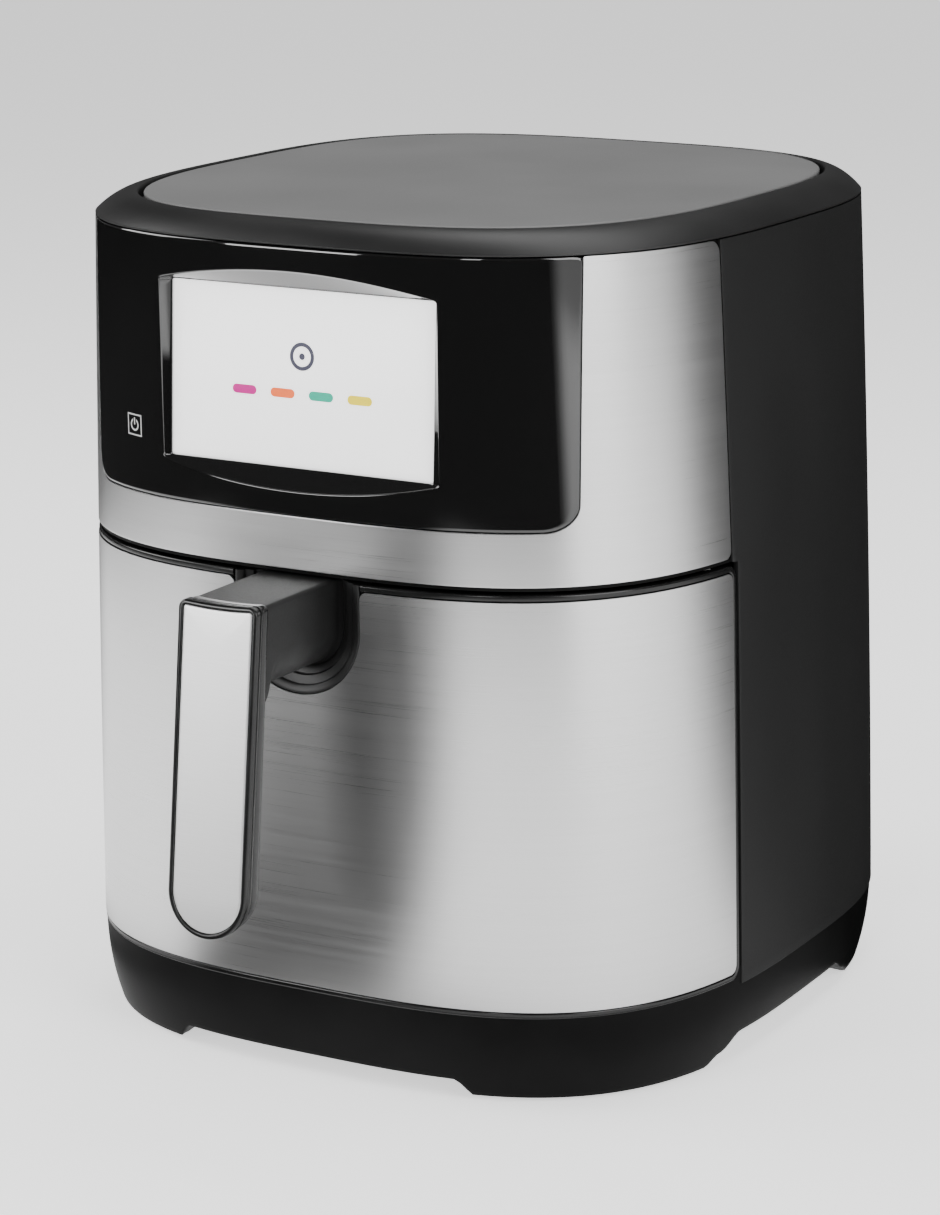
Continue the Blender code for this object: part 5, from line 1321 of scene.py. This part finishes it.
def build_back():
    """The exhaust grille with its round-nosed bars, and the ribbed bush where a lead would leave."""
    lo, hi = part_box("exhaust_grille")
    flange = 5.0 * MM
    half, tall = hi[0] - flange, 0.5 * (hi[2] - lo[2]) - flange
    centre = (0.0, 0.5 * (lo[2] + hi[2]))
    face, seat = hi[1] - SHIFT, lo[1] - SHIFT

    def window(out, y):
        """The window's rounded rectangle at y, moved outwards by a distance in millimetres."""
        loop = square_loop(half + out * MM, tall + out * MM, 1.0 * MM, 0.0, 6, 8, centre)
        return xyz(loop[:, 0], y, loop[:, 1])

    loops = [window(4.6, seat), window(4.6, seat + 1.9 * MM), window(0.0, seat + 1.95 * MM)]
    loops.append(window(0.0, face - 0.6 * MM))
    rim = (0.08, 0.3), (0.3, 0.08), (0.6, 0.0), (3.2, 0.0), (3.6, 0.15), (3.9, 0.6), (4.0, 1.2)
    for drawn, drop in rim:
        loops.append(window(-drawn, face - drop * MM))
    loops.append(window(-4.0, seat))
    points, _ = stack(loops)
    faces = grid_faces(len(loops), len(loops[0]), wrap_columns=True, wrap_rows=True)
    make_piece("grille_frame", points, faces, black_plastic, "housing", "exhaust_grille")

    count, slots = 24, 7
    pitch = 2.0 * tall / slots
    heights = centre[1] - tall + pitch * np.arange(1, slots)
    deep = 0.5 * (face - seat)
    section = square_loop(deep - 0.4 * MM, 1.5 * MM, 1.2 * MM, 0.0, 6, 2)[:, :2]
    span = np.linspace(-half + 3.6 * MM, half - 3.6 * MM, count)
    bars, quads, caps = [], [], []
    one = grid_faces(count, len(section), wrap_columns=True)
    for number, height in enumerate(heights):
        y = face - deep - 0.2 * MM + section[:, 0]
        bar = np.stack(np.broadcast_arrays(span[:, None], y[None], (height + section[:, 1])[None]), axis=-1)
        start = number * count * len(section)
        bars.append(bar.reshape(-1, 3))
        quads.append(one + start)
        last = start + (count - 1) * len(section)
        caps += [range(start + len(section) - 1, start - 1, -1), range(last, last + len(section))]
    points, faces = np.concatenate(bars), np.concatenate(quads)
    make_piece("grille_bars", points, faces, black_plastic, "housing", "exhaust_grille", caps)

    lo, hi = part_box("cord_gland")
    centre = 0.5 * (lo[2] + hi[2])
    inner, outer = lo[1] - SHIFT, hi[1] - SHIFT
    bore = 3.7 * MM
    wall = back_y(0.0, centre)
    profile = [(bore, inner), (7.0 * MM, inner), (7.0 * MM, wall + 0.6 * MM), (9.4 * MM, wall + 0.6 * MM)]
    profile += [(9.5 * MM, wall + 0.9 * MM), (9.2 * MM, wall + 1.5 * MM), (8.4 * MM, wall + 1.9 * MM)]
    for share in np.linspace(0.0, 1.0, 25):
        rib = 0.5 * MM * math.cos(6.0 * math.pi * share)
        y = wall + 2.1 * MM + (outer - wall - 2.6 * MM) * share
        profile.append((7.6 * MM - 1.3 * MM * share + rib, y))
    profile += [(5.6 * MM, outer - 0.1 * MM), (5.0 * MM, outer), (bore + 0.5 * MM, outer)]
    profile.append((bore, outer - 0.5 * MM))
    a = np.linspace(0.0, 2.0 * math.pi, 56, endpoint=False)
    loops = [xyz(r * np.cos(a), y, centre + r * np.sin(a)) for r, y in profile]
    points, _ = stack(loops)
    faces = grid_faces(len(loops), 56, wrap_columns=True, wrap_rows=True)
    make_piece("cord_bush", points, faces, silicone, "housing", "cord_gland")


# ---- Inner pieces --------------------------------------------------------------------------------------

SLOT_FINISHES = (
    black_plastic, housing_plastic, gloss_panel, lid_plastic, brushed_steel, plated_sheet, pan_coating,
    heater_sheath, screen_glass, circuit_board, silicone, white_plastic,
)


def finish_nodes():
    """Give every node of the frame the finish of its material slot."""
    by_slot = {maker.__name__: maker for maker in SLOT_FINISHES}
    for part in frame["record"]["subparts"]:
        node = NODES[part["node"]]
        made = look(by_slot[part["material_slot"]])
        if len(node.material_slots) == 0:
            node.data.materials.append(made)
        for place in node.material_slots:
            place.material = made


# ---- Stage ---------------------------------------------------------------------------------------------

FLOOR_REACH = 20.0
# The camera's lens in millimetres with its shift, its place in metres, and its tilt and turn in degrees.
LENS, SENSOR, LENS_SHIFT = 106.88, 36.0, (-0.0372, -0.0151)
CAMERA_PLACE = (0.70959, -1.254104, 0.53006)
CAMERA_TILT, CAMERA_TURN = 76.09, 28.51


def lamp(name, place, aim, size, watts):
    """A soft area lamp at a place, turned to face the aim. It isn't seen itself, only its light is."""
    data = bpy.data.lights.new(name, "AREA")
    data.shape = "RECTANGLE"
    data.size, data.size_y = size
    data.energy = watts * bpy.context.scene.air_fryer_looks.light
    made = add_object(name, data)
    made.location = place
    made.rotation_euler = (Vector(aim) - Vector(place)).to_track_quat("-Z", "Y").to_euler()
    made.visible_camera = False


def around(azimuth, distance, height):
    """A place at an azimuth in degrees from the front towards the right."""
    a = math.radians(azimuth)
    return (distance * math.sin(a), -distance * math.cos(a), height)


MIDDLE = (0.0, 0.0, 0.17)
# Each lamp's name, place, aim, size in metres and power in watts.
LAMPS = (
    ("lamp_left", around(-70.0, 1.7, 1.05), MIDDLE, (1.0, 1.1), 26.0),
    ("lamp_right", around(70.0, 1.9, 0.95), MIDDLE, (1.25, 1.4), 38.0),
    ("lamp_top", (0.1, 0.5, 1.9), (0.0, 0.0, 0.3), (1.6, 1.0), 22.0),
    ("lamp_front", around(12.0, 3.2, 1.7), MIDDLE, (0.5, 1.4), 20.0),
    ("lamp_strip", around(-29.0, 1.7, 0.42), (0.0, -0.2, 0.14), (0.42, 0.66), 11.0),
)


def floor_finish():
    """A pale, plain floor with a barely visible change of tone."""
    tone = bpy.context.scene.air_fryer_looks.floor
    made = Finish("stage_floor", tone, 0.85, **{"Specular IOR Level": 0.1, "Emission Strength": 1.15})
    cloud = made.noise(0.8, detail=1.0)
    made.set("Base Color", made.blend(cloud, scaled(tone, 0.99), tone))
    made.shader.inputs["Emission Color"].default_value = (*tone, 1.0)
    return made.material


def shade_of(azimuth, distance):
    """Darkness of the studio's ground as the object mirrors it, from 0 to 1.

    Near the object only a wedge in front is dark. Further away all is dark but a sector on the right.
    """
    core = 1.0 - smooth((distance - 0.18) / 0.06)
    near = 1.0 - smooth((distance - 0.85) / 0.2)
    wedge = smooth((azimuth + 44.0) / 12.0) * (1.0 - smooth((azimuth + 6.0) / 14.0))
    sector = smooth((azimuth - 50.0) / 8.0) * (1.0 - smooth((azimuth - 105.0) / 20.0))
    close = np.maximum(np.maximum(wedge, core), smooth((np.abs(azimuth) - 100.0) / 30.0))
    return near * close + (1.0 - near) * (1.0 - sector)


def flat_mesh(name, x, y, z):
    """A mesh at height z whose quads join the points of a grid of x and y."""
    points = xyz(x, y, z)
    mesh = bpy.data.meshes.new(name)
    mesh.from_pydata(points.reshape(-1, 3).tolist(), [], grid_faces(*points.shape[:2]).tolist())
    return mesh


def build_shade():
    """A sheet just over the floor that only mirror-like rays meet. It is as dark as shade_of says."""
    azimuth = np.linspace(-180.0, 180.0, 181)[:, None]
    distance = np.concatenate([np.linspace(0.17, 1.4, 60), np.linspace(1.6, FLOOR_REACH, 20)])[None]
    a = np.radians(azimuth)
    mesh = flat_mesh("shade", distance * np.sin(a), -distance * np.cos(a), 0.3 * MM)
    dark = shade_of(*np.broadcast_arrays(azimuth, distance)).reshape(-1)
    layer = mesh.attributes.new("dark", "FLOAT", "POINT")
    layer.data.foreach_set("value", dark.astype(np.float32))
    made = Finish("stage_shade", grey(0.02), 1.0, **{"Specular IOR Level": 0.0})
    share = made.add("ShaderNodeAttribute", {"attribute_name": "dark"}, None, 2)
    clear = made.nodes.new("ShaderNodeBsdfTransparent")
    mix = made.nodes.new("ShaderNodeMixShader")
    made.links.new(share.socket, mix.inputs[0])
    made.links.new(clear.outputs[0], mix.inputs[1])
    made.links.new(made.shader.outputs[0], mix.inputs[2])
    made.links.new(mix.outputs[0], made.nodes["Material Output"].inputs["Surface"])
    mesh.materials.append(made.material)
    sheet = add_object("shade", mesh)
    sheet.visible_camera = sheet.visible_diffuse = False
    sheet.visible_shadow = sheet.visible_transmission = False


def build_stage():
    """The floor, the sky, the lamps and the camera."""
    ends = np.linspace(-FLOOR_REACH, FLOOR_REACH, 3)
    mesh = flat_mesh("floor", *np.meshgrid(ends, ends), 0.0)
    ground = add_object("floor", mesh)
    mesh.materials.append(floor_finish())
    build_shade()

    world = bpy.data.worlds.new("sky")
    world.use_nodes = True
    nodes, links = world.node_tree.nodes, world.node_tree.links
    sky = nodes["Background"]
    ray = nodes.new("ShaderNodeLightPath")
    mix = nodes.new("ShaderNodeMapRange")
    mix.inputs["To Min"].default_value = 0.1
    mix.inputs["To Max"].default_value = 1.0
    links.new(ray.outputs["Is Camera Ray"], mix.inputs["Value"])
    links.new(mix.outputs["Result"], sky.inputs["Strength"])
    sky.inputs["Color"].default_value = (1.0, 1.0, 1.0, 1.0)
    bpy.context.scene.world = world

    for name, place, aim, size, watts in LAMPS:
        lamp(name, place, aim, size, watts)

    data = bpy.data.cameras.new("camera")
    data.lens, data.sensor_width = LENS, SENSOR
    data.shift_x, data.shift_y = LENS_SHIFT
    camera = add_object("camera", data)
    camera.location = CAMERA_PLACE
    camera.rotation_euler = (math.radians(CAMERA_TILT), 0.0, math.radians(CAMERA_TURN))
    bpy.context.scene.camera = camera


# ---- Operators and panel -------------------------------------------------------------------------------


class OBJECT_OT_air_fryer_base(Operator):
    """Build the foot tray and its four rubber pads."""

    bl_idname = "object.air_fryer_base"
    bl_label = "Base and Feet"

    def execute(self, context):
        build_base()
        return {"FINISHED"}


class OBJECT_OT_air_fryer_housing(Operator):
    """Build the casing."""

    bl_idname = "object.air_fryer_housing"
    bl_label = "Casing"

    def execute(self, context):
        build_housing()
        return {"FINISHED"}


class OBJECT_OT_air_fryer_head(Operator):
    """Build the steel fascia and the glossy control panel."""

    bl_idname = "object.air_fryer_head"
    bl_label = "Control Head"

    def execute(self, context):
        build_head()
        return {"FINISHED"}


class OBJECT_OT_air_fryer_top(Operator):
    """Build the top ring and the lid."""

    bl_idname = "object.air_fryer_top"
    bl_label = "Top Ring and Lid"

    def execute(self, context):
        build_top()
        return {"FINISHED"}


class OBJECT_OT_air_fryer_drawer(Operator):
    """Build the drawer's front, lip, handle recess and steel skin."""

    bl_idname = "object.air_fryer_drawer"
    bl_label = "Drawer Front"

    def execute(self, context):
        build_drawer_front()
        return {"FINISHED"}


class OBJECT_OT_air_fryer_handle(Operator):
    """Build the handle's frame, inlay, grip and arm."""

    bl_idname = "object.air_fryer_handle"
    bl_label = "Handle"

    def execute(self, context):
        build_handle()
        return {"FINISHED"}


class OBJECT_OT_air_fryer_pan(Operator):
    """Build the cooking pan."""

    bl_idname = "object.air_fryer_pan"
    bl_label = "Pan"

    def execute(self, context):
        build_pan()
        return {"FINISHED"}


class OBJECT_OT_air_fryer_plate(Operator):
    """Build the lift-out crisper plate with its round holes."""

    bl_idname = "object.air_fryer_plate"
    bl_label = "Crisper Plate"

    def execute(self, context):
        build_plate()
        return {"FINISHED"}


class OBJECT_OT_air_fryer_back(Operator):
    """Build the exhaust grille and the bush below it."""

    bl_idname = "object.air_fryer_back"
    bl_label = "Back"

    def execute(self, context):
        build_back()
        return {"FINISHED"}


class OBJECT_OT_air_fryer_inner(Operator):
    """Give the inner pieces their finishes."""

    bl_idname = "object.air_fryer_inner"
    bl_label = "Inner Finishes"

    def execute(self, context):
        finish_nodes()
        return {"FINISHED"}


class OBJECT_OT_air_fryer_stage(Operator):
    """Build the floor, lamps and camera."""

    bl_idname = "object.air_fryer_stage"
    bl_label = "Studio Stage"

    def execute(self, context):
        build_stage()
        return {"FINISHED"}


OPERATORS = (
    OBJECT_OT_air_fryer_base,
    OBJECT_OT_air_fryer_housing,
    OBJECT_OT_air_fryer_head,
    OBJECT_OT_air_fryer_top,
    OBJECT_OT_air_fryer_drawer,
    OBJECT_OT_air_fryer_handle,
    OBJECT_OT_air_fryer_pan,
    OBJECT_OT_air_fryer_plate,
    OBJECT_OT_air_fryer_back,
    OBJECT_OT_air_fryer_inner,
    OBJECT_OT_air_fryer_stage,
)


class VIEW3D_PT_air_fryer(Panel):
    """Sizes, colours and build steps of the air fryer."""

    bl_label = "Countertop Air Fryer"
    bl_idname = "VIEW3D_PT_air_fryer"
    bl_space_type = "VIEW_3D"
    bl_region_type = "UI"
    bl_category = "Air Fryer"

    def draw(self, context):
        for group in (context.scene.air_fryer_sizes, context.scene.air_fryer_looks):
            box = self.layout.column(align=True)
            for name in group.__annotations__:
                box.prop(group, name)
        steps = self.layout.column(align=True)
        for operator in OPERATORS:
            steps.operator(operator.bl_idname)


CLASSES = (AirFryerSizes, AirFryerLooks, *OPERATORS, VIEW3D_PT_air_fryer)


def register():
    for cls in CLASSES:
        bpy.utils.register_class(cls)
    bpy.types.Scene.air_fryer_sizes = PointerProperty(type=AirFryerSizes)
    bpy.types.Scene.air_fryer_looks = PointerProperty(type=AirFryerLooks)


def unregister():
    del bpy.types.Scene.air_fryer_looks
    del bpy.types.Scene.air_fryer_sizes
    for cls in reversed(CLASSES):
        bpy.utils.unregister_class(cls)


def main():
    register()
    bpy.ops.object.air_fryer_base()
    bpy.ops.object.air_fryer_housing()
    bpy.ops.object.air_fryer_head()
    bpy.ops.object.air_fryer_top()
    bpy.ops.object.air_fryer_drawer()
    bpy.ops.object.air_fryer_handle()
    bpy.ops.object.air_fryer_pan()
    bpy.ops.object.air_fryer_plate()
    bpy.ops.object.air_fryer_back()
    bpy.ops.object.air_fryer_inner()
    bpy.ops.object.air_fryer_stage()


if __name__ == "__main__":
    main()
